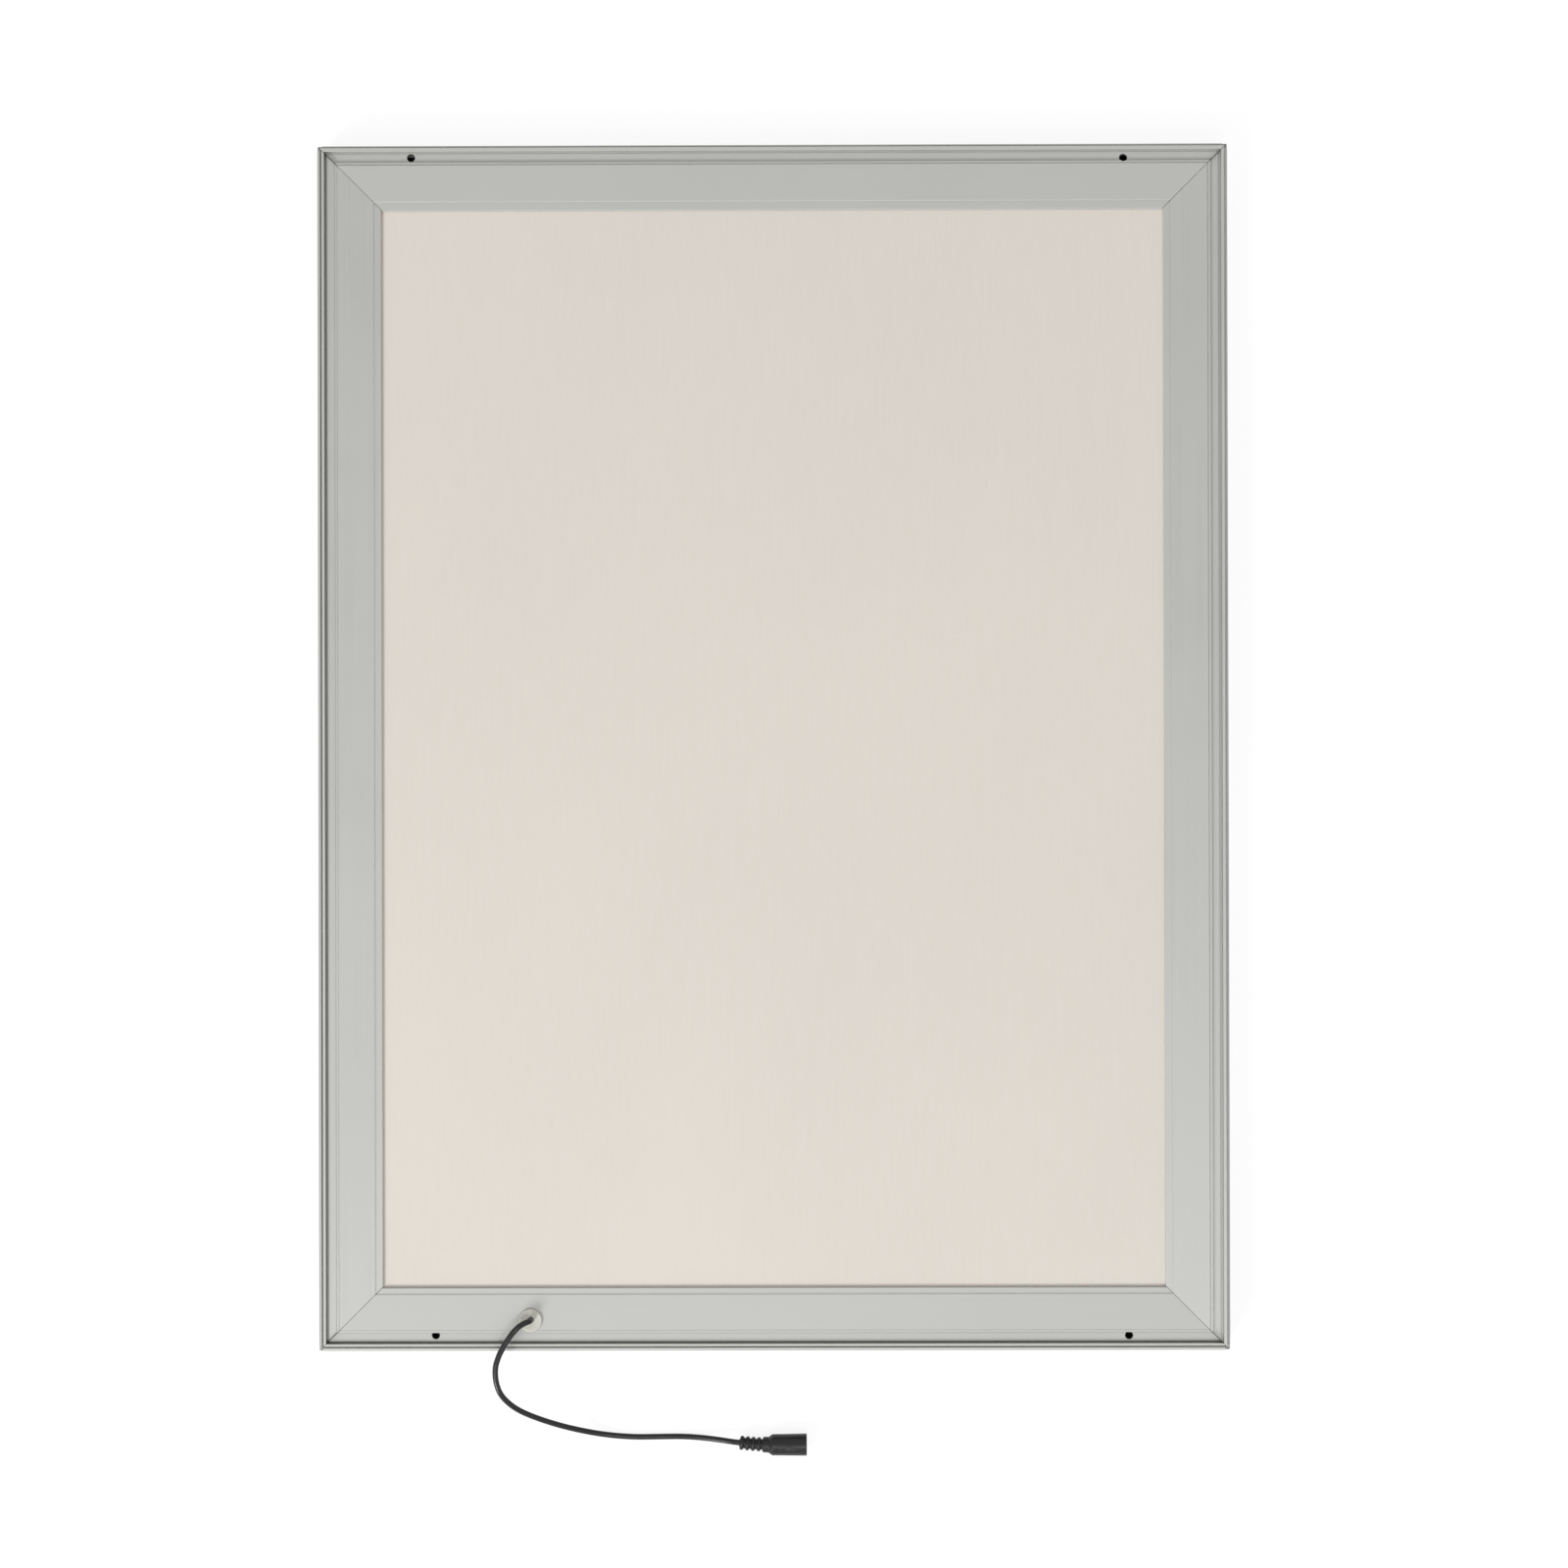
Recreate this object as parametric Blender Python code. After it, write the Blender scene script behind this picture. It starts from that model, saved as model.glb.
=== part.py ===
"""Edge-lit poster light box with a snap-open frame, lying on its front with the rear side up.

+Z points out of the back, +Y to the top edge and +X to the right, seen from behind. The origin is the
middle of the footprint, on the plane that the front rests on. The sections of the frame are drawn with two
distances: the inset, inwards from the outer edge, and the depth, forwards from the rear plane.
"""

from math import acos, atan, cos, floor, pi, radians, sin, sqrt, tan

import bmesh
import bpy
import numpy as np
from mathutils import Matrix, Vector

# Poster, and the gap that every pair of touching pieces keeps
poster_width = 0.4572
poster_height = 0.6096
poster_margin = 0.0065
clearance = 0.0003

# Hinge between the fixed frame and a snap cover
hinge_bead_radius = 0.0013
bead_tip_share = 0.2
hinge_clearance = 0.0003
rear_lip_wall = 0.0007
front_jaw_wall = 0.0009

# Fixed frame profile
side_wall = 0.0011
channel_width = 0.0047
channel_depth = 0.0023
channel_floor_wall = 0.0013
ledge_width = 0.0015
ledge_depth = 0.0011
web_wall = 0.0013
rear_flange_width = 0.0193
inner_strip_width = 0.0037
inner_strip_drop = 0.0004
inner_strip_wall = 0.0014
side_wall_rise = 0.0014
key_rib_reach = 0.0012
key_rib_wall = 0.0010
profile_edge_radius = 0.00025

# Sheets, from the rear to the front
back_panel_thickness = 0.0030
reflector_thickness = 0.0004
guide_thickness = 0.0080
diffuser_thickness = 0.0020
poster_slot = 0.0005
clear_sheet_thickness = 0.0010
sheet_corner_radius = 0.0020
sheet_corner_steps = 4

# Snap cover profile
cover_wall = 0.0013
cover_face_width = 0.0250
crown_width = 0.0110
cover_slope_drop = 0.0042
cover_lip_length = 0.0036
cover_outer_radius = 0.0030
cover_crown_radius = 0.0060
cover_nose_radius = 0.0010
cover_edge_radius = 0.0003
hook_inset = 0.0080
hook_wall = 0.0010
hook_height = 0.0015

# Cover springs
spring_thickness = 0.0005
spring_length = 0.022
spring_bend_radius = 0.0010
spring_knee_depth = 0.0175
spring_elbow_gap = 0.0009
spring_place_shares_short = (-0.52, 0.52)
spring_place_shares_long = (-0.66, 0.0, 0.66)

# Corner keys and their grub screws
key_thickness = 0.0025
key_leg_length = 0.036
key_edge_radius = 0.0008
grub_radius = 0.0015
grub_length = 0.0027
grub_chamfer = 0.0003
grub_socket_across_flats = 0.0015
grub_socket_depth = 0.0012
grub_from_corner = 0.022
grub_facets = 12

# Light strips
led_board_thickness = 0.0010
led_board_end_gap = 0.022
led_length = 0.0035
led_width = 0.0028
led_height = 0.0010
led_pitch = 0.0165
led_guide_gap = 0.0004
led_root = 0.0003

# Wall screw holes in the outer channel, left then right: distance from the nearer corner, and inset
wall_hole_radius = 0.0020
wall_holes_top = ((0.0486, 0.0061), (0.0536, 0.0072))
wall_holes_bottom = ((0.0603, 0.0081), (0.0521, 0.0076))
ledge_skin = 0.0003
hole_facets = 24

# Cord outlet
outlet_place = -0.1257
outlet_inset = 0.0161
grommet_disc_radius = 0.0059
grommet_disc_height = 0.0013
grommet_edge_radius = 0.0006
grommet_neck_radius = 0.0040
grommet_neck_depth = 0.0020
grommet_facets = 24
notch_half_width = 0.0060
cord_tie_thickness = 0.0010
cord_tie_wall = 0.0012

# Cord, its tail in the box and the two leads to the light strips
cord_diameter = 0.0028
cord_start_depth = 0.0005
cord_tail_length = 0.0028
cord_tail_facets = 16
lead_diameter = 0.0012
lead_spread = 0.0009
lead_start_inset = 0.0158
lead_tight_bend = 0.0014
lead_bend = 0.0030
lead_bend_steps = 4
cord_step = 2 * cord_diameter

# The cord's route, from the outlet over the lower cover's path and along the floor to the socket
cord_route = (
    (-0.1257, -0.2952, 0.0255),
    (-0.1257, -0.2952, 0.0298),
    (-0.1265, -0.2952, 0.0329),
    (-0.1284, -0.2957, 0.0354),
    (-0.1307, -0.2970, 0.0367),
    (-0.1329, -0.2990, 0.0369),
    (-0.1349, -0.3014, 0.0366),
    (-0.1367, -0.3040, 0.0361),
    (-0.1384, -0.3067, 0.0355),
    (-0.1400, -0.3096, 0.0350),
    (-0.1415, -0.3127, 0.0345),
    (-0.1431, -0.3177, 0.0337),
    (-0.1434, -0.3225, 0.0330),
    (-0.1428, -0.3272, 0.0322),
    (-0.1412, -0.3319, 0.0310),
    (-0.1384, -0.3360, 0.0292),
    (-0.1340, -0.3402, 0.0264),
    (-0.1287, -0.3437, 0.0231),
    (-0.1217, -0.3474, 0.0180),
    (-0.1139, -0.3509, 0.0126),
    (-0.1060, -0.3538, 0.0080),
    (-0.0980, -0.3561, 0.0046),
    (-0.0899, -0.3578, 0.0025),
    (-0.0812, -0.3589, 0.0017),
    (-0.0715, -0.3594, 0.0015),
    (-0.0600, -0.3593, 0.0015),
    (-0.0500, -0.3592, 0.0017),
    (-0.0430, -0.3594, 0.0022),
    (-0.0355, -0.3599, 0.0032),
    (-0.0285, -0.3606, 0.0045),
    (-0.0228, -0.3613, 0.0055),
    (-0.0186, -0.3618, 0.00575),
)

# Socket on the cord's end: a moulded shell with a ribbed sleeve, lying on the floor
socket_place = (-0.0183, -0.36305)
socket_turn = radians(0.3)
socket_length = 0.0353
socket_front_radius = 0.00575
socket_rear_radius = 0.00550
socket_body_start = 0.0169
socket_taper_start = 0.0149
socket_neck_start = 0.0118
socket_neck_radius = 0.0041
sleeve_rib_count = 4
sleeve_rib_pitch = 0.00295
sleeve_rib_width = 0.00215
sleeve_rib_radius = 0.0037
sleeve_rib_round = 0.0006
sleeve_rise = 0.00125
sleeve_bend_power = 1.5
sleeve_core_radius = 0.00275
socket_bore_radius = 0.00335
socket_bore_depth = 0.0105
socket_front_round = 0.0004
socket_facets = 24
contact_wall = 0.0003
contact_length = 0.0092
pin_radius = 0.00105
pin_length = 0.0085
pin_base_radius = 0.0022
pin_base_thickness = 0.0008
pin_nose = 0.0004

# How far a cutter overruns what it cuts
cut_overrun = 0.0010
arc_steps = 8
small_arc_steps = 2
sharp_angle = radians(40)

# Overall frame and insets of its section, from the outer edge
frame_width = poster_width + 2 * poster_margin
frame_height = poster_height + 2 * poster_margin
hinge_inset = hinge_bead_radius
hinge_depth = rear_lip_wall + hinge_clearance + hinge_bead_radius
socket_groove_radius = hinge_bead_radius + hinge_clearance
side_wall_outer = hinge_inset + socket_groove_radius
channel_outer = side_wall_outer + side_wall
channel_inner = channel_outer + channel_width
web_outer = channel_inner + ledge_width
web_inner = web_outer + web_wall
flange_step = web_outer + rear_flange_width
window_inset = flange_step + inner_strip_width
sheet_inset = web_inner + clearance
board_face_inset = sheet_inset + led_board_thickness
guide_inset = board_face_inset + led_height + led_guide_gap
mitre_setback = clearance / sqrt(2)

# Depths of the section, from the rear plane
floor_front = channel_depth + channel_floor_wall
key_rear = floor_front + clearance
key_rib_rear = key_rear + key_thickness + clearance
key_rib_front = key_rib_rear + key_rib_wall
flange_front = inner_strip_drop + inner_strip_wall
panel_rear = flange_front + clearance
panel_front = panel_rear + back_panel_thickness
reflector_rear = panel_front + clearance
reflector_front = reflector_rear + reflector_thickness
guide_rear = reflector_front + clearance
guide_front = guide_rear + guide_thickness
diffuser_rear = guide_front + clearance
diffuser_front = diffuser_rear + diffuser_thickness
clear_rear = diffuser_front + poster_slot
clear_front = clear_rear + clear_sheet_thickness
side_wall_front = clear_front + side_wall_rise
lip_end = clear_front + clearance
frame_depth = lip_end + cover_lip_length + cover_slope_drop

# The four sides: turn about +Z from the top side, half the bar's length, and its reach from the middle
sides = {
    "top": (radians(0), frame_width / 2, frame_height / 2),
    "left": (radians(90), frame_height / 2, frame_width / 2),
    "bottom": (radians(180), frame_width / 2, frame_height / 2),
    "right": (radians(270), frame_height / 2, frame_width / 2),
}

# Colours, roughness and metallic values of the finishes
satin_aluminium = ((0.56, 0.56, 0.54), 0.38, 1.0)
bright_steel = ((0.52, 0.52, 0.53), 0.30, 1.0)
spring_steel = ((0.30, 0.31, 0.33), 0.35, 1.0)
panel_white = ((0.74, 0.70, 0.66), 0.55, 0.0)
film_white = ((0.88, 0.88, 0.88), 0.40, 0.0)
clear_acrylic = ((0.90, 0.93, 0.94), 0.08, 0.0)
opal_acrylic = ((0.90, 0.90, 0.88), 0.35, 0.0)
board_white = ((0.82, 0.83, 0.80), 0.45, 0.0)
grommet_cream = ((0.72, 0.71, 0.66), 0.50, 0.0)
cord_black = ((0.015, 0.015, 0.016), 0.45, 0.0)
socket_black = ((0.020, 0.020, 0.021), 0.50, 0.0)
nickel = ((0.62, 0.60, 0.56), 0.25, 1.0)
lead_red = ((0.42, 0.03, 0.03), 0.45, 0.0)
tie_white = ((0.80, 0.80, 0.78), 0.45, 0.0)


def make_material(name, finish):
    """A Principled material with a colour, a roughness and a metallic value."""
    colour, roughness, metallic = finish
    material = bpy.data.materials.new(name)
    material.use_nodes = True
    shader = material.node_tree.nodes["Principled BSDF"]
    shader.inputs["Base Color"].default_value = (*colour, 1.0)
    shader.inputs["Roughness"].default_value = roughness
    shader.inputs["Metallic"].default_value = metallic
    return material


def add_mesh(name, shape, finish, matrix=None, smooth=False):
    """Turn a bmesh into a named object with its own material."""
    bmesh.ops.recalc_face_normals(shape, faces=shape.faces)
    mesh = bpy.data.meshes.new(name)
    shape.to_mesh(mesh)
    shape.free()
    if smooth:
        mesh.shade_smooth()
        mesh.set_sharp_from_angle(angle=sharp_angle)
    piece = bpy.data.objects.new(name, mesh)
    if finish is not None:
        mesh.materials.append(make_material(name, finish))
    if matrix is not None:
        piece.matrix_world = matrix
    bpy.context.collection.objects.link(piece)
    return piece


def add_cutter(name, shape, matrix=None):
    """A guide shape that only cuts or joins, and isn't part of the object."""
    cutter = add_mesh(name, shape, None, matrix)
    cutter.hide_render = True
    cutter.display_type = "WIRE"
    return cutter


def apply_boolean(piece, cutter, operation):
    """Cut or join a piece with a guide shape."""
    boolean = piece.modifiers.new(cutter.name, "BOOLEAN")
    boolean.operation = operation
    boolean.solver = "EXACT"
    boolean.object = cutter


def loft(rings, closed=False):
    """Skin a row of rings of equal length, capped at both ends or closed on itself."""
    shape = bmesh.new()
    layers = [[shape.verts.new(point) for point in ring] for ring in rings]
    following = layers[1:] + layers[:1] if closed else layers[1:]
    for ring, next_ring in zip(layers, following):
        count = len(ring)
        for index in range(count):
            other = (index + 1) % count
            shape.faces.new((ring[index], ring[other], next_ring[other], next_ring[index]))
    if not closed:
        shape.faces.new(list(reversed(layers[0])))
        shape.faces.new(layers[-1])
    return shape


def turned(profile, facets, closed=False):
    """Turn a profile of (height, radius) points about +Z."""
    rings = []
    for height, radius in profile:
        ring = []
        for index in range(facets):
            angle = 2 * pi * index / facets
            ring.append((radius * cos(angle), radius * sin(angle), height))
        rings.append(ring)
    return loft(rings, closed)


def arc(centre, radius, start, end, steps):
    """Points of an arc, its angles counted from +inset towards +depth."""
    angles = [start + (end - start) * index / steps for index in range(steps + 1)]
    return [(centre[0] + radius * cos(angle), centre[1] + radius * sin(angle)) for angle in angles]


def corner_points(before, corner, after, radius, steps):
    """Points that round one corner between its two neighbours."""
    to_before = Vector(before) - Vector(corner)
    to_after = Vector(after) - Vector(corner)
    half_angle = to_before.angle(to_after) / 2
    reach = radius / tan(half_angle)
    middle = (to_before.normalized() + to_after.normalized()).normalized()
    centre = Vector(corner) + middle * (radius / sin(half_angle))
    first = Vector(corner) + to_before.normalized() * reach - centre
    last = Vector(corner) + to_after.normalized() * reach - centre
    turn = first.angle(last)
    points = []
    for index in range(steps + 1):
        share = index / steps
        blend = first * sin((1 - share) * turn) + last * sin(share * turn)
        points.append(tuple(centre + blend / sin(turn)))
    return points


def rounded(corners, steps, closed=True):
    """Round the corners of an outline; each corner ends with its radius, and zero keeps it sharp."""
    points = []
    count = len(corners)
    for index, corner in enumerate(corners):
        place = corner[:-1]
        radius = corner[-1]
        is_end = not closed and index in (0, count - 1)
        if radius == 0 or is_end:
            points.append(tuple(place))
            continue
        before = corners[index - 1][:-1]
        after = corners[(index + 1) % count][:-1]
        points.extend(corner_points(before, place, after, radius, steps))
    return points


def side_matrix(side, inset=0.0, depth=0.0, along=0.0):
    """Place of a piece on one side: its +X runs along the bar and its +Y points outwards."""
    turn, half_length, reach = sides[side]
    move = Matrix.Translation((along, reach - inset, frame_depth - depth))
    return Matrix.Rotation(turn, 4, "Z") @ move


def side_point(side, along, inset, depth):
    """A point of the box, from its place along a side, its inset and its depth."""
    return side_matrix(side, inset, depth, along).translation


def straight_bar(outline, half_length):
    """A bar with square ends, its section in inset and depth."""
    rings = []
    for along in (-half_length, half_length):
        rings.append([(along, -inset, -depth) for inset, depth in outline])
    return loft(rings)


def frame_outline():
    """Section of the fixed frame: hinge groove, outer wall, channel, web and rear flange."""
    jaw_inset = cover_wall + clearance
    jaw_offset = jaw_inset - hinge_inset
    jaw_rear = hinge_depth + sqrt(socket_groove_radius**2 - jaw_offset**2)
    jaw_front = jaw_rear + front_jaw_wall
    groove_end = acos(jaw_offset / socket_groove_radius)
    groove = arc((hinge_inset, hinge_depth), socket_groove_radius, -pi / 2, groove_end, arc_steps)
    edge = profile_edge_radius
    corners = [(hinge_inset, 0.0, 0.0)]
    corners += [(inset, depth, 0.0) for inset, depth in groove]
    corners += [
        (jaw_inset, jaw_front, 0.0),
        (side_wall_outer, jaw_front, 0.0),
        (side_wall_outer, side_wall_front, edge),
        (channel_outer, side_wall_front, edge),
        (channel_outer, key_rib_front, 0.0),
        (channel_outer + key_rib_reach, key_rib_front, 0.0),
        (channel_outer + key_rib_reach, key_rib_rear, 0.0),
        (channel_outer, key_rib_rear, 0.0),
        (channel_outer, floor_front, 0.0),
        (web_outer, floor_front, 0.0),
        (web_outer, key_rib_rear, 0.0),
        (web_outer - key_rib_reach, key_rib_rear, 0.0),
        (web_outer - key_rib_reach, key_rib_front, 0.0),
        (web_outer, key_rib_front, 0.0),
        (web_outer, diffuser_front, edge),
        (web_inner, diffuser_front, edge),
        (web_inner, flange_front, 0.0),
        (window_inset, flange_front, edge),
        (window_inset, inner_strip_drop, edge),
        (flange_step, inner_strip_drop, 0.0),
        (flange_step, 0.0, edge),
        (web_outer, 0.0, edge),
        (web_outer, ledge_depth, 0.0),
        (channel_inner, ledge_depth, edge),
        (channel_inner, channel_depth, 0.0),
        (channel_outer, channel_depth, edge),
        (channel_outer, 0.0, edge),
    ]
    return rounded(corners, small_arc_steps)


def mitred_bar(outline, half_length):
    """A bar whose ends follow the mitre planes of the frame."""
    rings = []
    for direction in (-1, 1):
        ring = []
        for inset, depth in outline:
            along = direction * (half_length - inset - mitre_setback)
            ring.append((along, -inset, -depth))
        rings.append(ring)
    return loft(rings)


def round_cutter(radius, depth_from, depth_to):
    """A cylinder that cuts a hole between two depths."""
    return turned(((-depth_from, radius), (-depth_to, radius)), hole_facets)


def add_frame_profiles():
    """The four fixed bars, with the wall screw holes and the cord outlet.

    The holes are drilled from the front through the channel's floor, so the step beside it hides their rest.
    """
    holes = {"top": wall_holes_top, "bottom": wall_holes_bottom}
    for side, (turn, half_length, reach) in sides.items():
        shape = mitred_bar(frame_outline(), half_length)
        bar = add_mesh(f"frame_profile_{side}", shape, satin_aluminium, side_matrix(side))
        for direction, (from_corner, inset) in zip((-1, 1), holes.get(side, ())):
            place = direction * (half_length - from_corner)
            cutter = add_cutter(
                f"wall_hole_cutter_{side}_{'left' if direction < 0 else 'right'}",
                round_cutter(wall_hole_radius, floor_front + clearance, ledge_depth + ledge_skin),
                Matrix.Translation((place, *side_point(side, 0.0, inset, 0.0)[1:])),
            )
            apply_boolean(bar, cutter, "DIFFERENCE")
        if side == "bottom":
            cutter = add_cutter(
                "outlet_cutter",
                round_cutter(grommet_neck_radius + clearance, flange_front + cut_overrun, -cut_overrun),
                Matrix.Translation(outlet_point(0.0)),
            )
            apply_boolean(bar, cutter, "DIFFERENCE")


def outlet_point(depth):
    """The outlet's axis at one depth."""
    return Vector((outlet_place, outlet_inset - frame_height / 2, frame_depth - depth))


def cover_outlines():
    """Section of a snap cover: the part in front of the hinge, and the round bead that turns in it."""
    slope = atan(cover_slope_drop / (cover_face_width - crown_width))
    lip_rear_inset = cover_face_width - cover_wall
    inner_crown_inset = crown_width - cover_wall * tan(slope / 2)
    inner_depth = frame_depth - cover_wall
    lip_run = lip_rear_inset - crown_width
    inner_lip_depth = frame_depth - lip_run * tan(slope) - cover_wall / cos(slope)
    trim_depth = hinge_depth + cover_wall + clearance
    edge = cover_edge_radius
    corners = [
        (0.0, trim_depth, 0.0),
        (0.0, frame_depth, cover_outer_radius),
        (crown_width, frame_depth, cover_crown_radius),
        (cover_face_width, frame_depth - cover_slope_drop, cover_nose_radius),
        (cover_face_width, lip_end, edge),
        (lip_rear_inset, lip_end, edge),
        (lip_rear_inset, inner_lip_depth, edge),
        (inner_crown_inset, inner_depth, 0.0),
        (hook_inset + hook_wall, inner_depth, 0.0),
        (hook_inset + hook_wall, inner_depth - hook_height, edge),
        (hook_inset, inner_depth - hook_height, edge),
        (hook_inset, inner_depth, 0.0),
        (cover_wall, inner_depth, cover_outer_radius - cover_wall),
        (cover_wall, trim_depth, 0.0),
    ]
    front = rounded(corners, small_arc_steps + small_arc_steps, closed=False)
    neck_offset = cover_wall - hinge_inset
    neck_angle = acos(neck_offset / hinge_bead_radius)
    bead = arc((hinge_inset, hinge_depth), hinge_bead_radius, neck_angle, -pi, arc_steps + arc_steps)
    return front, bead


def cover_shape(half_length):
    """A snap cover about its hinge axis: mitred in front, its bead ending in cones that clear the next."""
    front, bead = cover_outlines()
    cone_base = half_length - 2 * hinge_bead_radius - mitre_setback
    cone_tip = cone_base + hinge_bead_radius * (1 - bead_tip_share)
    shape = bmesh.new()

    def add_vertex(along, point, share=1):
        inset, depth = point
        return shape.verts.new((along, (hinge_inset - inset) * share, (hinge_depth - depth) * share))

    mitred = {}
    beads = {}
    for direction in (-1, 1):
        ring = []
        for point in front:
            ring.append(add_vertex(direction * (half_length - point[0] - mitre_setback), point))
        section = (front[-1], *bead, front[0])
        chain = [add_vertex(direction * cone_base, point) for point in section]
        tip = [add_vertex(direction * cone_tip, point, bead_tip_share) for point in section]
        mitred[direction] = ring
        beads[direction] = chain
        shape.faces.new(ring)
        shape.faces.new(tip)
        for index in range(len(section)):
            other = (index + 1) % len(section)
            shape.faces.new((chain[index], chain[other], tip[other], tip[index]))
        shape.faces.new((ring[0], chain[-1], chain[0], ring[-1]))
    low, high = mitred[-1], mitred[1]
    low_bead, high_bead = beads[-1], beads[1]
    shape.faces.new((low[0], low[1], high[1], high[0], high_bead[-1], low_bead[-1]))
    shape.faces.new((low[-1], low[-2], high[-2], high[-1], high_bead[0], low_bead[0]))
    for index in range(1, len(front) - 2):
        shape.faces.new((low[index], low[index + 1], high[index + 1], high[index]))
    for index in range(len(low_bead) - 1):
        shape.faces.new((low_bead[index], low_bead[index + 1], high_bead[index + 1], high_bead[index]))
    return shape


def add_snap_covers():
    """The four covers, each with its origin on its hinge axis."""
    for side, (turn, half_length, reach) in sides.items():
        matrix = side_matrix(side, hinge_inset, hinge_depth)
        add_mesh(f"snap_cover_{side}", cover_shape(half_length), satin_aluminium, matrix, smooth=True)


def strip_outline(path, thickness):
    """Outline of a bent strip, from its middle line."""
    line = [Vector(point) for point in path]
    sideways = []
    for index, point in enumerate(line):
        before = line[max(index - 1, 0)]
        after = line[min(index + 1, len(line) - 1)]
        run = (after - before).normalized()
        sideways.append(Vector((-run.y, run.x)))
    outer = [tuple(point + side * (thickness / 2)) for point, side in zip(line, sideways)]
    inner = [tuple(point - side * (thickness / 2)) for point, side in zip(line, sideways)]
    return outer + list(reversed(inner))


def add_cover_springs():
    """Bent leaf springs: the foot rests on the key ribs and the arm bears behind the cover's hook."""
    half_thickness = spring_thickness / 2
    foot_depth = key_rib_front + clearance + half_thickness
    heel_inset = channel_outer + clearance + half_thickness
    toe_inset = web_outer - clearance
    arm_inset = hook_inset + hook_wall + clearance + half_thickness
    elbow_depth = frame_depth - cover_wall - hook_height - spring_elbow_gap
    tip_depth = frame_depth - cover_wall - clearance - spring_thickness
    corners = (
        (toe_inset, foot_depth, 0.0),
        (heel_inset, foot_depth, spring_bend_radius),
        (heel_inset, spring_knee_depth, spring_bend_radius),
        (arm_inset, elbow_depth, spring_bend_radius),
        (arm_inset, tip_depth, 0.0),
    )
    path = rounded(corners, small_arc_steps + small_arc_steps, closed=False)
    outline = strip_outline(path, spring_thickness)
    shares = {
        "top": spring_place_shares_short,
        "left": spring_place_shares_long,
        "bottom": spring_place_shares_short,
        "right": spring_place_shares_long,
    }
    for side, (turn, half_length, reach) in sides.items():
        for number, share in enumerate(shares[side], start=1):
            matrix = side_matrix(side, along=share * half_length)
            shape = straight_bar(outline, spring_length / 2)
            add_mesh(f"cover_spring_{side}_{number}", shape, spring_steel, matrix, smooth=True)


def add_corner_keys():
    """L-shaped keys in the outer channels, each jacked tight by two grub screws."""
    outer = channel_outer + clearance
    inner = web_outer - clearance
    middle = (outer + inner) / 2
    leg_end = outer + key_leg_length
    corners = (
        (outer, outer, key_edge_radius),
        (leg_end, outer, key_edge_radius),
        (leg_end, inner, key_edge_radius),
        (inner, inner, 0.0),
        (inner, leg_end, key_edge_radius),
        (outer, leg_end, key_edge_radius),
    )
    outline = rounded(corners, small_arc_steps)
    grub_places = (("a", grub_from_corner, middle), ("b", middle, grub_from_corner))
    for across in (-1, 1):
        for up in (-1, 1):
            name = ("top" if up > 0 else "bottom") + ("_right" if across > 0 else "_left")
            corner = Vector((across * frame_width / 2, up * frame_height / 2, frame_depth))
            rings = []
            for depth in (key_rear, key_rear + key_thickness):
                rings.append([(-across * x, -up * y, -depth) for x, y in outline])
            key = add_mesh(f"corner_key_{name}", loft(rings), bright_steel, Matrix.Translation(corner))
            for letter, x, y in grub_places:
                place = Matrix.Translation(corner + Vector((-across * x, -up * y, 0.0)))
                hole = round_cutter(
                    grub_radius + clearance,
                    key_rear + key_thickness + cut_overrun,
                    key_rear - cut_overrun,
                )
                cutter = add_cutter(f"grub_hole_cutter_{name}_{letter}", hole, place)
                apply_boolean(key, cutter, "DIFFERENCE")
                add_mesh(f"grub_screw_{name}_{letter}", grub_shape(), bright_steel, place, smooth=True)


def grub_shape():
    """A grub screw with a hexagon socket, its flat end behind and its socket in front."""

    def circle(radius, depth):
        angles = [2 * pi * index / grub_facets for index in range(grub_facets)]
        return [(radius * cos(angle), radius * sin(angle), -depth) for angle in angles]

    def hexagon(depth):
        points = []
        for index in range(grub_facets):
            angle = 2 * pi * index / grub_facets
            beside_flat = (angle + pi / 6) % (pi / 3) - pi / 6
            radius = grub_socket_across_flats / 2 / cos(beside_flat)
            points.append((radius * cos(angle), radius * sin(angle), -depth))
        return points

    rear = key_rear
    front = key_rear + grub_length
    rings = [
        circle(grub_radius - grub_chamfer, rear),
        circle(grub_radius, rear + grub_chamfer),
        circle(grub_radius, front - grub_chamfer),
        circle(grub_radius - grub_chamfer, front),
        hexagon(front),
        hexagon(front - grub_socket_depth),
    ]
    return loft(rings)


def add_sheet(name, insets, depths, finish, notch_end=0.0):
    """A flat sheet with round corners, and a notch in its lower edge where the cord comes in."""
    half_width = frame_width / 2 - insets
    half_height = frame_height / 2 - insets
    radius = sheet_corner_radius
    corners = [
        (half_width, -half_height, radius),
        (half_width, half_height, radius),
        (-half_width, half_height, radius),
        (-half_width, -half_height, radius),
    ]
    if notch_end > 0:
        left = outlet_place - notch_half_width
        right = outlet_place + notch_half_width
        notch_top = notch_end - frame_height / 2
        corners += [
            (left, -half_height, 0.0),
            (left, notch_top, 0.0),
            (right, notch_top, 0.0),
            (right, -half_height, 0.0),
        ]
    outline = rounded(corners, sheet_corner_steps)
    rings = [[(x, y, frame_depth - depth) for x, y in outline] for depth in depths]
    add_mesh(name, loft(rings), finish)


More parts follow.
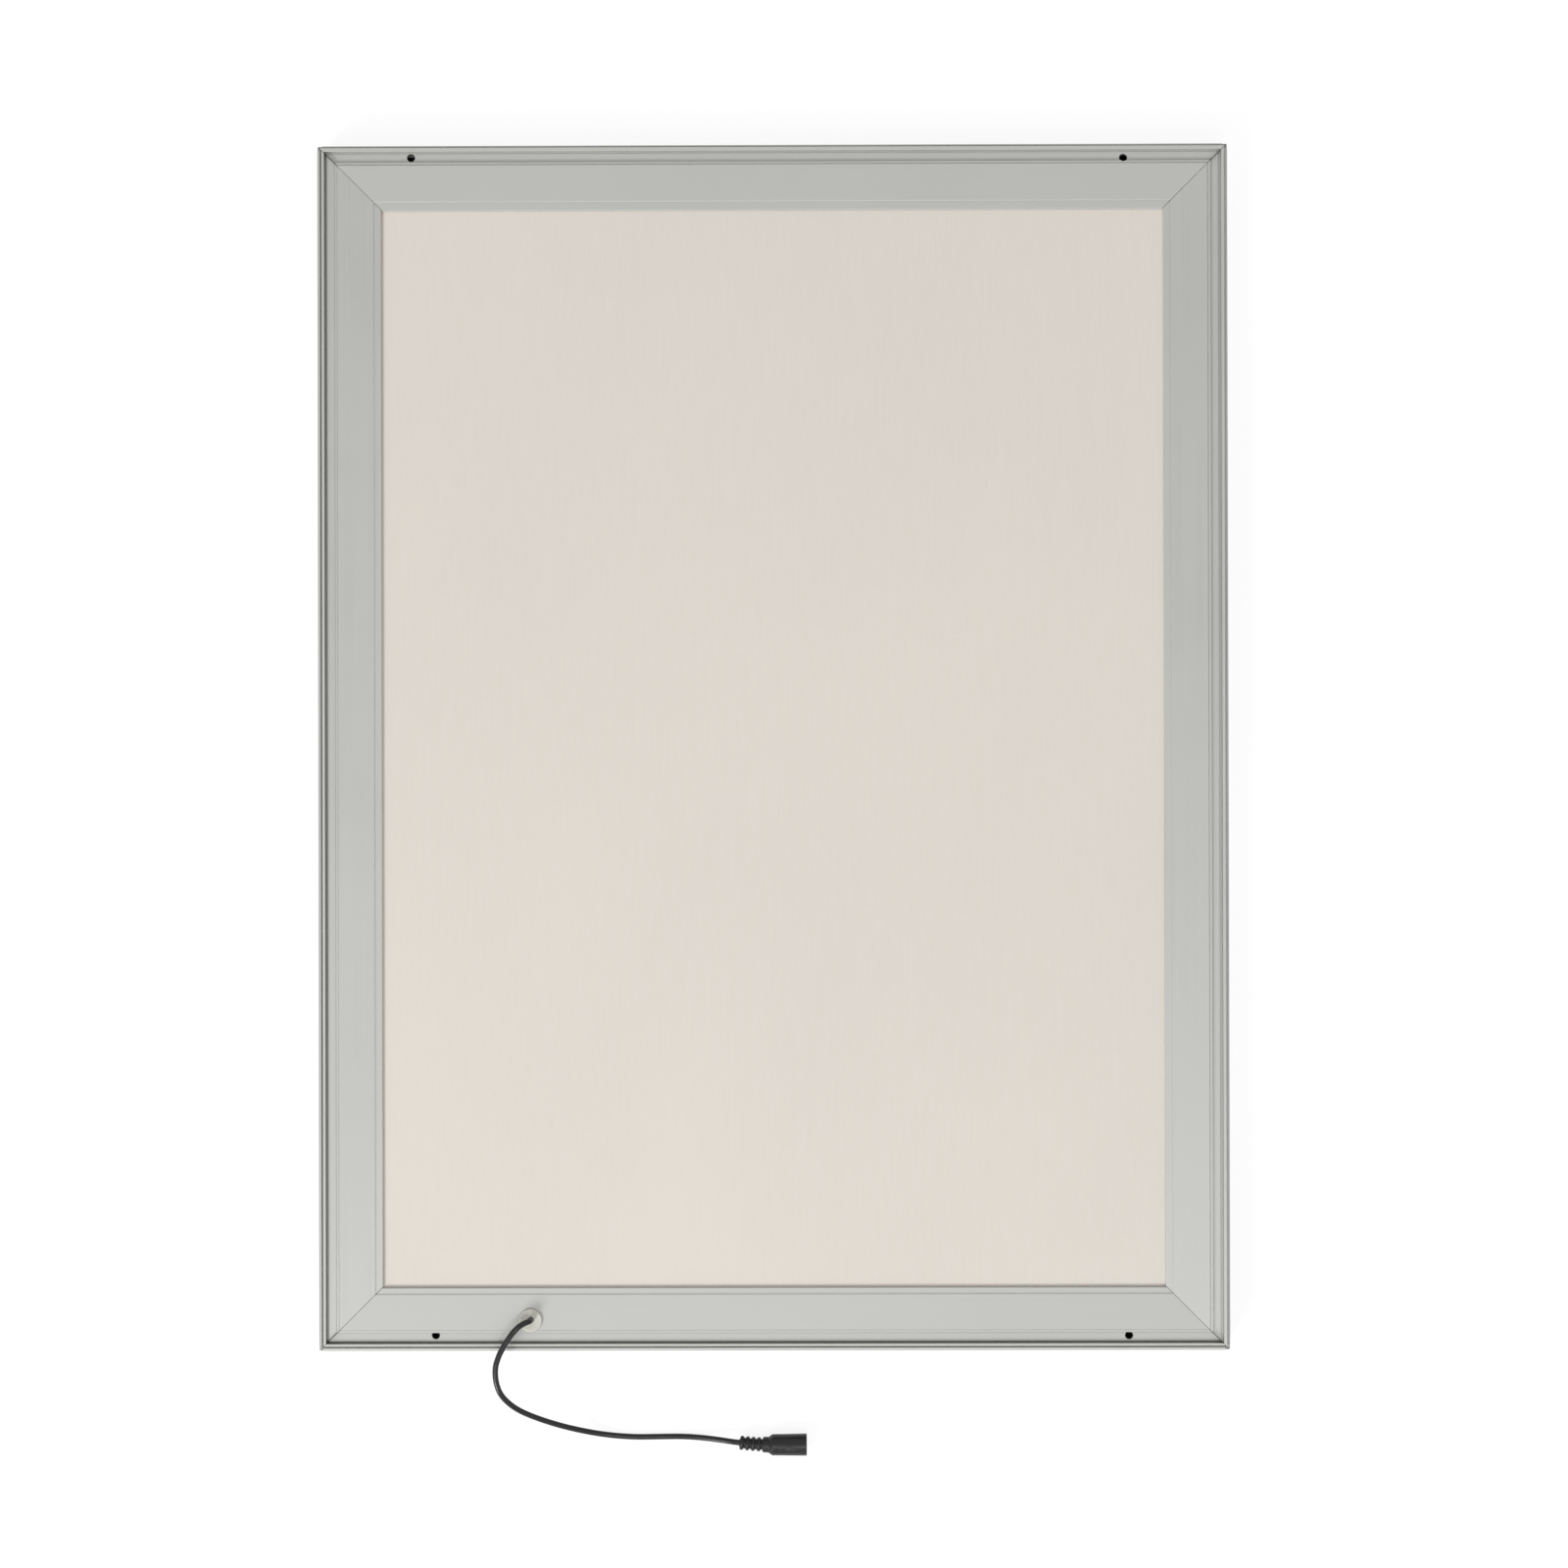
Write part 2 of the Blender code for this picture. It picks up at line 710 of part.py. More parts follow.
def add_sheets():
    """The stack between the rear flange and the covers' lips."""
    tie_radius = cord_diameter / 2 + clearance + cord_tie_wall
    panel_notch = outlet_inset + tie_radius + clearance
    reflector_notch = guide_inset + clearance
    add_sheet("back_panel", sheet_inset, (panel_rear, panel_front), panel_white, panel_notch)
    add_sheet("reflector_sheet", sheet_inset, (reflector_rear, reflector_front), film_white, reflector_notch)
    add_sheet("light_guide_plate", guide_inset, (guide_rear, guide_front), clear_acrylic)
    add_sheet("opal_diffuser", sheet_inset, (diffuser_rear, diffuser_front), opal_acrylic)
    add_sheet("clear_poster_cover", poster_margin, (clear_rear, clear_front), clear_acrylic)


def box_rings(low, high):
    """The two rings of a box between two corners."""
    rings = []
    for height in (low[2], high[2]):
        rings.append([
            (low[0], low[1], height),
            (high[0], low[1], height),
            (high[0], high[1], height),
            (low[0], high[1], height),
        ])
    return rings


def strip_half_length():
    """Half the length of a light strip, which stops short of the corners."""
    return frame_height / 2 - led_board_end_gap


def add_light_strips():
    """Circuit boards with light-emitting packages that face the edges of the light guide."""
    half_length = strip_half_length()
    middle_depth = (guide_rear + guide_front) / 2
    board_outline = (
        (sheet_inset, guide_rear),
        (board_face_inset, guide_rear),
        (board_face_inset, guide_front),
        (sheet_inset, guide_front),
    )
    count = floor((2 * half_length - led_length) / led_pitch)
    for side in ("left", "right"):
        board = add_mesh(f"led_strip_{side}", straight_bar(board_outline, half_length), board_white,
                         side_matrix(side))
        packages = bmesh.new()
        for index in range(count):
            along = (index - (count - 1) / 2) * led_pitch
            rings = box_rings(
                (along - led_length / 2, -board_face_inset - led_height, -middle_depth - led_width / 2),
                (along + led_length / 2, -board_face_inset + led_root, -middle_depth + led_width / 2),
            )
            package = loft(rings)
            scratch = bpy.data.meshes.new("package")
            package.to_mesh(scratch)
            package.free()
            packages.from_mesh(scratch)
            bpy.data.meshes.remove(scratch)
        cutter = add_cutter(f"led_packages_{side}", packages, side_matrix(side))
        apply_boolean(board, cutter, "UNION")


def add_grommet():
    """The bushing in the rear flange: a rounded disc on the outside and a neck through the hole."""
    bore = cord_diameter / 2 + clearance
    disc_rear = clearance
    disc_top = clearance + grommet_disc_height
    corners = (
        (-grommet_neck_depth, bore, 0.0),
        (-grommet_neck_depth, grommet_neck_radius, 0.0),
        (disc_rear, grommet_neck_radius, 0.0),
        (disc_rear, grommet_disc_radius, 0.0),
        (disc_top, grommet_disc_radius, grommet_edge_radius),
        (disc_top, bore, grommet_edge_radius / 2),
    )
    profile = rounded(corners, small_arc_steps + small_arc_steps)
    shape = turned(profile, grommet_facets, closed=True)
    add_mesh("grommet", shape, grommet_cream, Matrix.Translation(outlet_point(0.0)), smooth=True)


def add_cord_tail():
    """The cord's end inside the box, and the tie that stops it from pulling out."""
    radius = cord_diameter / 2
    tail_top = cord_start_depth + clearance
    profile = ((-tail_top - cord_tail_length, radius), (-tail_top, radius))
    place = Matrix.Translation(outlet_point(0.0))
    add_mesh("cord_tail", turned(profile, cord_tail_facets), cord_black, place, smooth=True)
    tie_rear = grommet_neck_depth + clearance
    tie_front = tie_rear + cord_tie_thickness
    ring = (
        (-tie_rear, radius + clearance),
        (-tie_rear, radius + clearance + cord_tie_wall),
        (-tie_front, radius + clearance + cord_tie_wall),
        (-tie_front, radius + clearance),
    )
    shape = turned(ring, cord_tail_facets, closed=True)
    add_mesh("cord_tie", shape, tie_white, place, smooth=True)


def add_tube(name, points, diameter, finish):
    """A round tube along a row of points."""
    curve = bpy.data.curves.new(name, "CURVE")
    curve.dimensions = "3D"
    curve.bevel_depth = diameter / 2
    curve.bevel_resolution = 2
    curve.use_fill_caps = True
    spline = curve.splines.new("POLY")
    spline.points.add(len(points) - 1)
    for target, point in zip(spline.points, points):
        target.co = (*point, 1.0)
    spline.use_smooth = True
    curve.materials.append(make_material(name, finish))
    tube = bpy.data.objects.new(name, curve)
    bpy.context.collection.objects.link(tube)
    return tube


def add_leads():
    """The two insulated leads from the cord's tail to the lower ends of the light strips."""
    run_inset = (web_inner + guide_inset) / 2
    run_depth = (guide_rear + guide_front) / 2
    tail_front = cord_start_depth + clearance + cord_tail_length
    start_depth = tail_front + clearance + lead_diameter / 2
    start_height = lead_start_inset - frame_height / 2
    run_height = run_inset - frame_height / 2
    strip_inset = (sheet_inset + board_face_inset) / 2 + clearance
    strip_end = -strip_half_length() - clearance
    rear_z = frame_depth - start_depth
    run_z = frame_depth - run_depth
    for name, direction, finish in (("left", -1, cord_black), ("right", 1, lead_red)):
        start_x = outlet_place + direction * lead_spread
        end_x = direction * (frame_width / 2 - strip_inset)
        corners = (
            (start_x, start_height, rear_z, 0.0),
            (start_x, run_height, rear_z, lead_tight_bend),
            (start_x, run_height, run_z, lead_bend),
            (end_x, run_height, run_z, lead_bend),
            (end_x, strip_end, run_z, 0.0),
        )
        points = rounded(corners, lead_bend_steps, closed=False)
        add_tube(f"strip_lead_{name}", points, lead_diameter, finish)


def smooth_route(route, step):
    """Evenly spaced points on a smooth curve through the chosen points."""
    places = np.array(route)
    before = 2 * places[:1] - places[1:2]
    after = 2 * places[-1:] - places[-2:-1]
    padded = np.concatenate((before, places, after))
    fine = []
    samples = 24
    for index in range(1, len(padded) - 2):
        p0, p1, p2, p3 = padded[index - 1:index + 3]
        for sample in range(samples):
            t = sample / samples
            fine.append(0.5 * (2 * p1 + (p2 - p0) * t + (2 * p0 - 5 * p1 + 4 * p2 - p3) * t**2
                               + (3 * p1 - p0 - 3 * p2 + p3) * t**3))
    fine.append(padded[-2])
    fine = np.array(fine)
    lengths = np.concatenate(([0.0], np.cumsum(np.linalg.norm(np.diff(fine, axis=0), axis=1))))
    count = round(lengths[-1] / step)
    places = np.linspace(0.0, lengths[-1], count + 1)
    return [tuple(np.interp(places, lengths, fine[:, axis])[index] for axis in range(3))
            for index in range(count + 1)]


def add_cord():
    """The free cord, from the outlet to the socket on its end."""
    add_tube("power_cord", smooth_route(cord_route, cord_step), cord_diameter, cord_black)


def socket_matrix():
    """Place of the socket: its own +Z points out of its mouth."""
    lie = Matrix.Rotation(socket_turn, 4, "Z") @ Matrix.Rotation(pi / 2, 4, "Y")
    return Matrix.Translation((*socket_place, socket_front_radius)) @ lie


def bend_sleeve(shell):
    """Bend the ribbed sleeve towards the cord, which comes in a little above the body's axis."""
    for vertex in shell.verts:
        share = max(1 - vertex.co.z / socket_body_start, 0.0)
        vertex.co.y += sleeve_rise * share**sleeve_bend_power


def add_power_socket():
    """The shell with its ribbed sleeve, the contact sleeve and the centre pin."""
    floor_place = socket_length - socket_bore_depth
    corners = []
    for index in range(sleeve_rib_count):
        start = index * sleeve_rib_pitch
        end = start + sleeve_rib_width
        if index > 0:
            corners.append((start, sleeve_core_radius, 0.0))
        corners.append((start, sleeve_rib_radius, sleeve_rib_round))
        corners.append((end, sleeve_rib_radius, sleeve_rib_round))
        corners.append((end, sleeve_core_radius, 0.0))
    corners += [
        (socket_neck_start, sleeve_core_radius, 0.0),
        (socket_neck_start, socket_neck_radius, sleeve_rib_round),
        (socket_taper_start, socket_neck_radius, 0.0),
        (socket_body_start, socket_rear_radius, socket_front_round),
        (socket_length, socket_front_radius, socket_front_round),
        (socket_length, socket_bore_radius, socket_front_round),
        (floor_place, socket_bore_radius, 0.0),
    ]
    profile = rounded(corners, small_arc_steps, closed=False)
    matrix = socket_matrix()
    shell = turned(profile, socket_facets)
    bend_sleeve(shell)
    add_mesh("dc_socket_shell", shell, socket_black, matrix, smooth=True)

    contact_start = floor_place + clearance
    outer = socket_bore_radius - clearance
    ring = (
        (contact_start, outer - contact_wall),
        (contact_start, outer),
        (contact_start + contact_length, outer),
        (contact_start + contact_length, outer - contact_wall),
    )
    shape = turned(ring, socket_facets, closed=True)
    add_mesh("dc_socket_contact", shape, nickel, matrix, smooth=True)

    pin_start = contact_start
    pin_profile = (
        (pin_start, pin_base_radius),
        (pin_start + pin_base_thickness, pin_base_radius),
        (pin_start + pin_base_thickness, pin_radius),
        (pin_start + pin_length - pin_nose, pin_radius),
        (pin_start + pin_length, pin_radius - pin_nose),
    )
    shape = turned(pin_profile, cord_tail_facets)
    add_mesh("dc_socket_pin", shape, nickel, matrix, smooth=True)


def main():
    """Build the whole light box in an empty scene."""
    for old in list(bpy.data.objects):
        bpy.data.objects.remove(old, do_unlink=True)
    add_frame_profiles()
    add_snap_covers()
    add_cover_springs()
    add_corner_keys()
    add_sheets()
    add_light_strips()
    add_grommet()
    add_cord_tail()
    add_leads()
    add_cord()
    add_power_socket()


main()
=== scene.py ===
"""Looks of the edge-lit poster light box: its fine profiles, cord and socket, finishes, light and camera.

Places are in metres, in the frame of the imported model: +Z points out of the box's back and +Y to its top
edge. A profile's section is drawn with two distances: the inset, inwards from the outer edge, and the
depth, forwards from the rear plane.
"""

from math import acos, atan, cos, pi, radians, sin, sqrt, tan

import bmesh
import bpy
import numpy as np
from mathutils import Matrix, Vector


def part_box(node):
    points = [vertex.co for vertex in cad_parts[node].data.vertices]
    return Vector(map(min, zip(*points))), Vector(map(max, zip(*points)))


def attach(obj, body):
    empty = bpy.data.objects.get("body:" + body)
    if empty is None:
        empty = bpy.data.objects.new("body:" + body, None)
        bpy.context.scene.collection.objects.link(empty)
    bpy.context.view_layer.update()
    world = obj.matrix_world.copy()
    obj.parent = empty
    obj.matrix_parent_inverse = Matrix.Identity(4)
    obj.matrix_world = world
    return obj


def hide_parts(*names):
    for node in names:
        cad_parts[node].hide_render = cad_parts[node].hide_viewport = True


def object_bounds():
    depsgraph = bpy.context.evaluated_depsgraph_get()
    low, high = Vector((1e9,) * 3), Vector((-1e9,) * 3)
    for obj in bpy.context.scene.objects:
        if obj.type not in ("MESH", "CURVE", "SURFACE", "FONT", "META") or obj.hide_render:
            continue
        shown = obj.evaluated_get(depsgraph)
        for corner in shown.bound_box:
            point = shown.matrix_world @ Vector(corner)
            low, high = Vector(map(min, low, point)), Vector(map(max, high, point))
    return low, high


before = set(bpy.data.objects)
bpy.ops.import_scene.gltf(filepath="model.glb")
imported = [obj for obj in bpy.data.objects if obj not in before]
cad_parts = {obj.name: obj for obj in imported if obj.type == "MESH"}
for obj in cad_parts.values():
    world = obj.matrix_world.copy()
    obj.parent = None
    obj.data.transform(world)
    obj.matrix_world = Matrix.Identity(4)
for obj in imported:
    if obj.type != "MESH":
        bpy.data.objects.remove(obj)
cad_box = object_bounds()

# Overall sizes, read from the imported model
half_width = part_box("snap_cover_right")[1].x
half_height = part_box("snap_cover_top")[1].y
rear_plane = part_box("frame_profile_top")[1].z
outlet_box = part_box("grommet")

# Camera, almost straight above the box: its place, the length of its lens and how far it is turned
camera_place = (0.0191, -0.0269, 2.026)
camera_lens = 89.02
camera_turn = radians(-0.131)
camera_lean_left = radians(0.386)
camera_lean_up = radians(0.227)

# Hinge between the fixed frame and a snap cover
hinge_inset = 0.0013
hinge_depth = 0.0023
bead_radius = 0.0013
groove_radius = 0.0016
bead_tip_share = 0.2
bead_groove_start = {"top": radians(-94), "right": radians(-72), "left": radians(-44), "bottom": radians(-38)}
bead_groove_end = {"top": radians(-116), "right": radians(-104), "left": radians(-84), "bottom": radians(-80)}
bead_groove_floor = {"top": 0.0010, "right": 0.0009, "left": 0.0002, "bottom": 0.0002}

# Fixed frame profile: insets, then depths
side_wall_outer = 0.0029
lip_outer = {"top": 0.0013, "right": 0.0018, "left": 0.0024, "bottom": 0.0026}
lip_inner = {"top": 0.0032, "right": 0.0034, "left": 0.0038, "bottom": 0.0038}
lip_groove_inner = {"top": 0.0041, "right": 0.0047, "left": 0.0049, "bottom": 0.0049}
lip_groove_depth = {"top": 0.0025, "right": 0.0026, "left": 0.0032, "bottom": 0.0033}
channel_outer = 0.0040
channel_inner = {"top": 0.0087, "right": 0.0087, "left": 0.0092, "bottom": 0.0094}
flat_edge = {"top": 0.0102, "right": 0.0104, "left": 0.0106, "bottom": 0.0109}
flat_outer = 0.0102
web_inner = 0.0115
flat_inner = 0.0295
window_inset = {"top": 0.0340, "right": 0.0332, "left": 0.0332, "bottom": 0.0328}
key_rib_reach = 0.0012
ledge_depth = 0.0007
channel_depth = 0.0023
# Depth where the painted shade of the grooves is full; it starts at the channel's floor
painted_shade_depth = 0.0031
line_depth = 0.00012
line_width = 0.00028
floor_front = 0.0036
key_rib_rear = 0.0067
key_rib_front = 0.0077
flange_rear = 0.0004
flange_front = 0.0018
web_front = 0.0164
side_wall_front = 0.0193
jaw_wall = 0.0009
profile_edge_radius = 0.00022
flat_bevel_width = 0.00045
flat_bevel_drop = 0.00011
groove_edge_radius = 0.00010
window_edge_radius = {"top": 0.0001, "right": 0.0001, "left": 0.0001, "bottom": 0.0005}
mitre_gap = 0.00012
mitre_chamfer = 0.00010

# Snap cover profile
cover_wall = 0.0013
cover_face_width = 0.0250
crown_width = 0.0110
cover_slope_drop = 0.0042
cover_lip_end = 0.0182
cover_trim_depth = 0.0039
cover_outer_radius = 0.0030
cover_crown_radius = 0.0060
cover_nose_radius = 0.0010
cover_edge_radius = 0.0003
hook_inset = 0.0080
hook_wall = 0.0010
hook_height = 0.0015
cover_setback = 0.00012

# Wall screw holes: their size, the depth where the drill ends on each side, and, left then right, their
# distance from the nearer corner and their inset
wall_hole_radius = 0.0020
wall_hole_chamfer = 0.00025
wall_hole_top = {"top": 0.0004, "bottom": 0.0010}
wall_holes = {
    "top": ((0.0486, 0.0061), (0.0536, 0.0072)),
    "bottom": ((0.0603, 0.0081), (0.0521, 0.0076)),
}
hole_facets = 64

# Grommet in the rear flange
outlet = (outlet_box[0] + outlet_box[1]) / 2
grommet_disc_radius = (outlet_box[1].x - outlet_box[0].x) / 2
grommet_top = outlet_box[1].z
grommet_bottom = outlet_box[0].z
grommet_disc_height = 0.0013
grommet_neck_radius = 0.0040
grommet_neck_gap = 0.0003
grommet_bore = 0.0016
grommet_edge_radius = 0.0006
grommet_inner_edge_radius = grommet_edge_radius / 3
grommet_dish = 0.0005
grommet_facets = 96

# Cord, and its centre line from the outlet to the socket
cord_diameter = 0.0030
cord_route = (
    (-0.1257, -0.2952, 0.0255),
    (-0.1257, -0.2952, 0.0298),
    (-0.1265, -0.2952, 0.0329),
    (-0.1284, -0.2957, 0.0354),
    (-0.1307, -0.2970, 0.0367),
    (-0.1329, -0.2990, 0.0369),
    (-0.1349, -0.3014, 0.0366),
    (-0.1367, -0.3040, 0.0361),
    (-0.1384, -0.3067, 0.0355),
    (-0.1400, -0.3096, 0.0350),
    (-0.1415, -0.3127, 0.0345),
    (-0.1431, -0.3177, 0.0337),
    (-0.1434, -0.3225, 0.0330),
    (-0.1428, -0.3272, 0.0322),
    (-0.1412, -0.3319, 0.0310),
    (-0.1384, -0.3360, 0.0292),
    (-0.1340, -0.3402, 0.0264),
    (-0.1287, -0.3437, 0.0231),
    (-0.1217, -0.3474, 0.0180),
    (-0.1139, -0.3509, 0.0126),
    (-0.1060, -0.3538, 0.0080),
    (-0.0980, -0.3561, 0.0046),
    (-0.0899, -0.3578, 0.0025),
    (-0.0812, -0.3589, 0.0017),
    (-0.0715, -0.3594, 0.0016),
    (-0.0600, -0.3593, 0.0016),
    (-0.0500, -0.3592, 0.0017),
    (-0.0430, -0.3594, 0.0022),
    (-0.0355, -0.3599, 0.0032),
    (-0.0285, -0.3606, 0.0045),
    (-0.0228, -0.3613, 0.0055),
    (-0.0186, -0.3618, 0.00575),
)

# Socket on the cord's end
socket_place = (-0.0183, -0.36305)
socket_turn = radians(0.3)
socket_length = 0.0349
socket_front_radius = 0.00575
socket_rear_radius = 0.00550
socket_body_start = 0.0169
socket_taper_start = 0.0149
socket_neck_start = 0.0118
socket_neck_radius = 0.0041
socket_neck_edge = 0.0009
socket_soft_edge = 0.0004
sleeve_rib_count = 4
sleeve_rib_pitch = 0.00295
sleeve_rib_width = 0.00215
sleeve_rib_radius = 0.0037
sleeve_rise = 0.00125
sleeve_bend_power = 1.5
sleeve_rib_edge = 0.00095
sleeve_core_radius = 0.0028
sleeve_collar_length = 0.0004
sleeve_collar_radius = 0.0019
socket_ring_start = 0.0203
socket_ring_pitch = 0.0009
socket_ring_count = 5
socket_ring_depth = 0.00006
socket_ring_width = 0.00025
socket_bore_radius = 0.00335
socket_bore_depth = 0.0105
socket_facets = 128
contact_wall = 0.0003
contact_length = 0.0092
pin_radius = 0.00105
pin_length = 0.0085
pin_base_radius = 0.0022
pin_base_thickness = 0.0008
pin_nose = 0.0004
clearance = 0.0003

# Noise of the finishes: the range that its values mostly fill
noise_low = 0.3
noise_high = 0.7

# Aluminium by direction: scale of its streaks along each axis of the object, roughness and brightness
# The brightness is painted light: the bars across are painted lighter, the upright bars darker
aluminiums = {
    "aluminium_across": ((5, 1500, 1500), 0.62, 1.03),
    "aluminium_upright": ((1500, 5, 1500), 0.45, 0.975),
}
aluminium_dull = (0.424, 0.426, 0.407)
aluminium_bright = (0.464, 0.466, 0.447)
# Dark grey painted into the deep grooves as shade
painted_shade_colour = (0.240, 0.243, 0.232, 1.0)
aluminium_metallic = 0.62
smudge_scale = 9
smudge_detail_roughness = 0.6
aluminium_grain_scale = 2600
aluminium_grain_height = 0.000012
grain_share = 0.6
streak_tone = 0.5
smudge_tone = 0.6
streak_roughness = (-0.04, 0.04)
smudge_roughness = (-0.03, 0.05)

# Steels: brightness and roughness
steels = {
    "zinc_steel": (0.58, 0.30),
    "spring_steel": (0.30, 0.36),
    "nickel_plate": (0.62, 0.22),
}
steel_dull_share = 0.88
steel_bright_share = 1.06
steel_warmth = 0.01
steel_scratch_scale = (500, 2200, 900)
steel_scratch_height = 0.00001
steel_cloud_scale = 120
steel_smoother = 0.06
steel_rougher = 0.08

# Back panel: its colours below and above, its blotches and its weave
panel_lower = (0.738, 0.692, 0.624, 1.0)
panel_upper = (0.728, 0.672, 0.610, 1.0)
panel_blotch = (0.702, 0.652, 0.594, 1.0)
panel_weave = (0.780, 0.745, 0.705, 1.0)
blotch_scale = (6.5, 5.0, 6.5)
blotch_detail_roughness = 0.55
blotch_share = 0.7
fibre_scale = (900, 60, 900)
fibre_tone = 0.5
weave_scale = (260, 1400, 260)
weave_tone = 0.3
weave_share = 0.30
weave_height = 0.00002
panel_roughness = (0.50, 0.62)
panel_shine = 0.35

# Plastics: darker and lighter colour, roughness, scale and height of the grain, and shine
black = (0.003, 0.003, 0.0033, 1.0)
soft_black = (0.006, 0.006, 0.0065, 1.0)
plastics = {
    "white_film": ((0.84, 0.84, 0.84, 1.0), (0.90, 0.90, 0.90, 1.0), 0.38, 1200, 0.00001, 0.5),
    "grommet_cream": ((0.60, 0.59, 0.53, 1.0), (0.68, 0.67, 0.61, 1.0), 0.50, 1600, 0.00003, 0.5),
    "cord_black": (black, soft_black, 0.26, 1500, 0.00001, 0.42),
    "socket_black": (black, soft_black, 0.34, 2200, 0.00001, 0.38),
    "lead_black": (black, soft_black, 0.42, 1500, 0.00001, 0.5),
    "lead_red": ((0.36, 0.02, 0.02, 1.0), (0.46, 0.03, 0.03, 1.0), 0.42, 1500, 0.00001, 0.5),
    "tie_white": ((0.76, 0.76, 0.76, 1.0), (0.82, 0.82, 0.82, 1.0), 0.42, 1200, 0.00001, 0.5),
}
plastic_cloud_scale = 90
plastic_smoother = 0.05
plastic_rougher = 0.06

# Clear acrylic sheets by tint, and their hazes and hair scratches
clear_sheets = {
    "light_guide": ((0.90, 0.95, 0.95, 1.0),),
    "clear_cover": ((0.93, 0.96, 0.96, 1.0),),
}
haze_colour = (0.96, 0.97, 0.97, 1.0)
haze_scale = 14
clear_roughness = (0.03, 0.08)
hair_scratch_scale = (40, 1500, 40)
hair_scratch_height = 0.000001
acrylic_index = 1.49

# Opal acrylic
opal_dull = 0.84
opal_bright = 0.90
opal_warmth = 0.01
opal_cloud_scale = 10
opal_grain_scale = 1800
opal_grain_height = 0.00001
opal_roughness = (0.30, 0.42)
opal_transmission = 0.15

# Light strips: the inset where their boards end and the packages begin, then their finish
package_inset = 0.0129
board_dull = 0.76
board_bright = 0.84
board_warmth = 0.01
package_yellow = (0.80, 0.62, 0.16, 1.0)
board_cloud_scale = 300
board_cloud_height = 0.00002
board_roughness = (0.38, 0.50)

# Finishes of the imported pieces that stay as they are, by the start of their names
node_finishes = {
    "back_panel": "panel_white",
    "reflector_sheet": "white_film",
    "light_guide_plate": "light_guide",
    "clear_poster_cover": "clear_cover",
    "opal_diffuser": "opal_sheet",
    "led_strip": "strip_board",
    "corner_key": "zinc_steel",
    "grub_screw": "zinc_steel",
    "cover_spring": "spring_steel",
    "cord_tail": "cord_black",
    "cord_tie": "tie_white",
    "strip_lead_left": "lead_black",
    "strip_lead_right": "lead_red",
}

# Floor: its reach and its gap below the box, its greys as seen and as it lights the box, and its glow
floor_reach = 8.0
floor_drop = 0.0004
floor_seen_greys = (0.21, 0.23)
floor_lit_greys = (0.78, 0.80)
floor_glow = 0.86
floor_mottle_scale = 3

# Soft sky, and lamps that look at the middle of the box: place, size and power in watts
sky_strength = 0.50
sky_warmth = 0.005
lamps = {
    "lamp_above": ((0.2, -1.4, 3.6), 0.8, 19.0),
    "lamp_key": ((-3.0, -3.9, 3.8), 1.9, 226.0),
}

# Steps of the arcs, the angle from which an edge is sharp, how much a large flat face outweighs a small
# one in the shading, and the least cosine that a shrunk outline's corner is divided by
fine_steps = 8
edge_steps = 4
sharp_angle = radians(35)
flat_weight = 100
least_corner_cosine = 0.5

# The four sides: turn about +Z from the top side, distance from the middle to the outer edge, half the
# bar's length, and the aluminium whose streaks run along the bar
side_turn = {"top": radians(0), "left": radians(90), "bottom": radians(180), "right": radians(270)}
side_reach = {"top": half_height, "left": half_width, "bottom": half_height, "right": half_width}
bar_half_length = {"top": half_width, "left": half_height, "bottom": half_width, "right": half_height}
bar_finish = {
    "top": "aluminium_across",
    "left": "aluminium_upright",
    "bottom": "aluminium_across",
    "right": "aluminium_upright",
}


def add_camera():
    """The camera that takes the photo's view."""
    data = bpy.data.cameras.new("camera")
    data.lens = camera_lens
    camera = bpy.data.objects.new("camera", data)
    lean = Matrix.Rotation(camera_lean_left, 4, "Y") @ Matrix.Rotation(camera_lean_up, 4, "X")
    camera.matrix_world = Matrix.Translation(camera_place) @ lean @ Matrix.Rotation(camera_turn, 4, "Z")
    bpy.context.scene.collection.objects.link(camera)
    bpy.context.scene.camera = camera


def add_mesh(name, shape, material, matrix=None):
    """Turn a bmesh into a smooth piece with its material, its place in its vertices."""
    bmesh.ops.recalc_face_normals(shape, faces=shape.faces)
    if matrix is not None:
        shape.transform(matrix)
    mesh = bpy.data.meshes.new(name)
    shape.to_mesh(mesh)
    shape.free()
    mesh.shade_smooth()
    mesh.set_sharp_from_angle(angle=sharp_angle)
    if material is not None:
        mesh.materials.append(material)
    piece = bpy.data.objects.new(name, mesh)
    bpy.context.scene.collection.objects.link(piece)
    return piece


def keep_flats_even(piece):
    """Give large flat faces even shading next to their rounded edges."""
    weighted = piece.modifiers.new("even_flats", "WEIGHTED_NORMAL")
    weighted.mode = "FACE_AREA"
    weighted.weight = flat_weight
    weighted.keep_sharp = True


def cut(piece, cutters):
    """Cut guide shapes out of a piece, and remove them."""
    for cutter in cutters:
        boolean = piece.modifiers.new(cutter.name, "BOOLEAN")
        boolean.operation = "DIFFERENCE"
        boolean.solver = "EXACT"
        boolean.object = cutter
    bpy.context.view_layer.update()
    graph = bpy.context.evaluated_depsgraph_get()
    mesh = bpy.data.meshes.new_from_object(piece.evaluated_get(graph))
    piece.modifiers.clear()
    piece.data = mesh
    mesh.set_sharp_from_angle(angle=sharp_angle)
    for cutter in cutters:
        bpy.data.objects.remove(cutter)


def loft(rings, closed=False):
    """Skin a row of rings of equal length, capped at both ends or closed on itself."""
    shape = bmesh.new()
    layers = [[shape.verts.new(point) for point in ring] for ring in rings]
    following = layers[1:] + layers[:1] if closed else layers[1:]
    for ring, next_ring in zip(layers, following):
        count = len(ring)
        for index in range(count):
            other = (index + 1) % count
            shape.faces.new((ring[index], ring[other], next_ring[other], next_ring[index]))
    if not closed:
        shape.faces.new(list(reversed(layers[0])))
        shape.faces.new(layers[-1])
    return shape


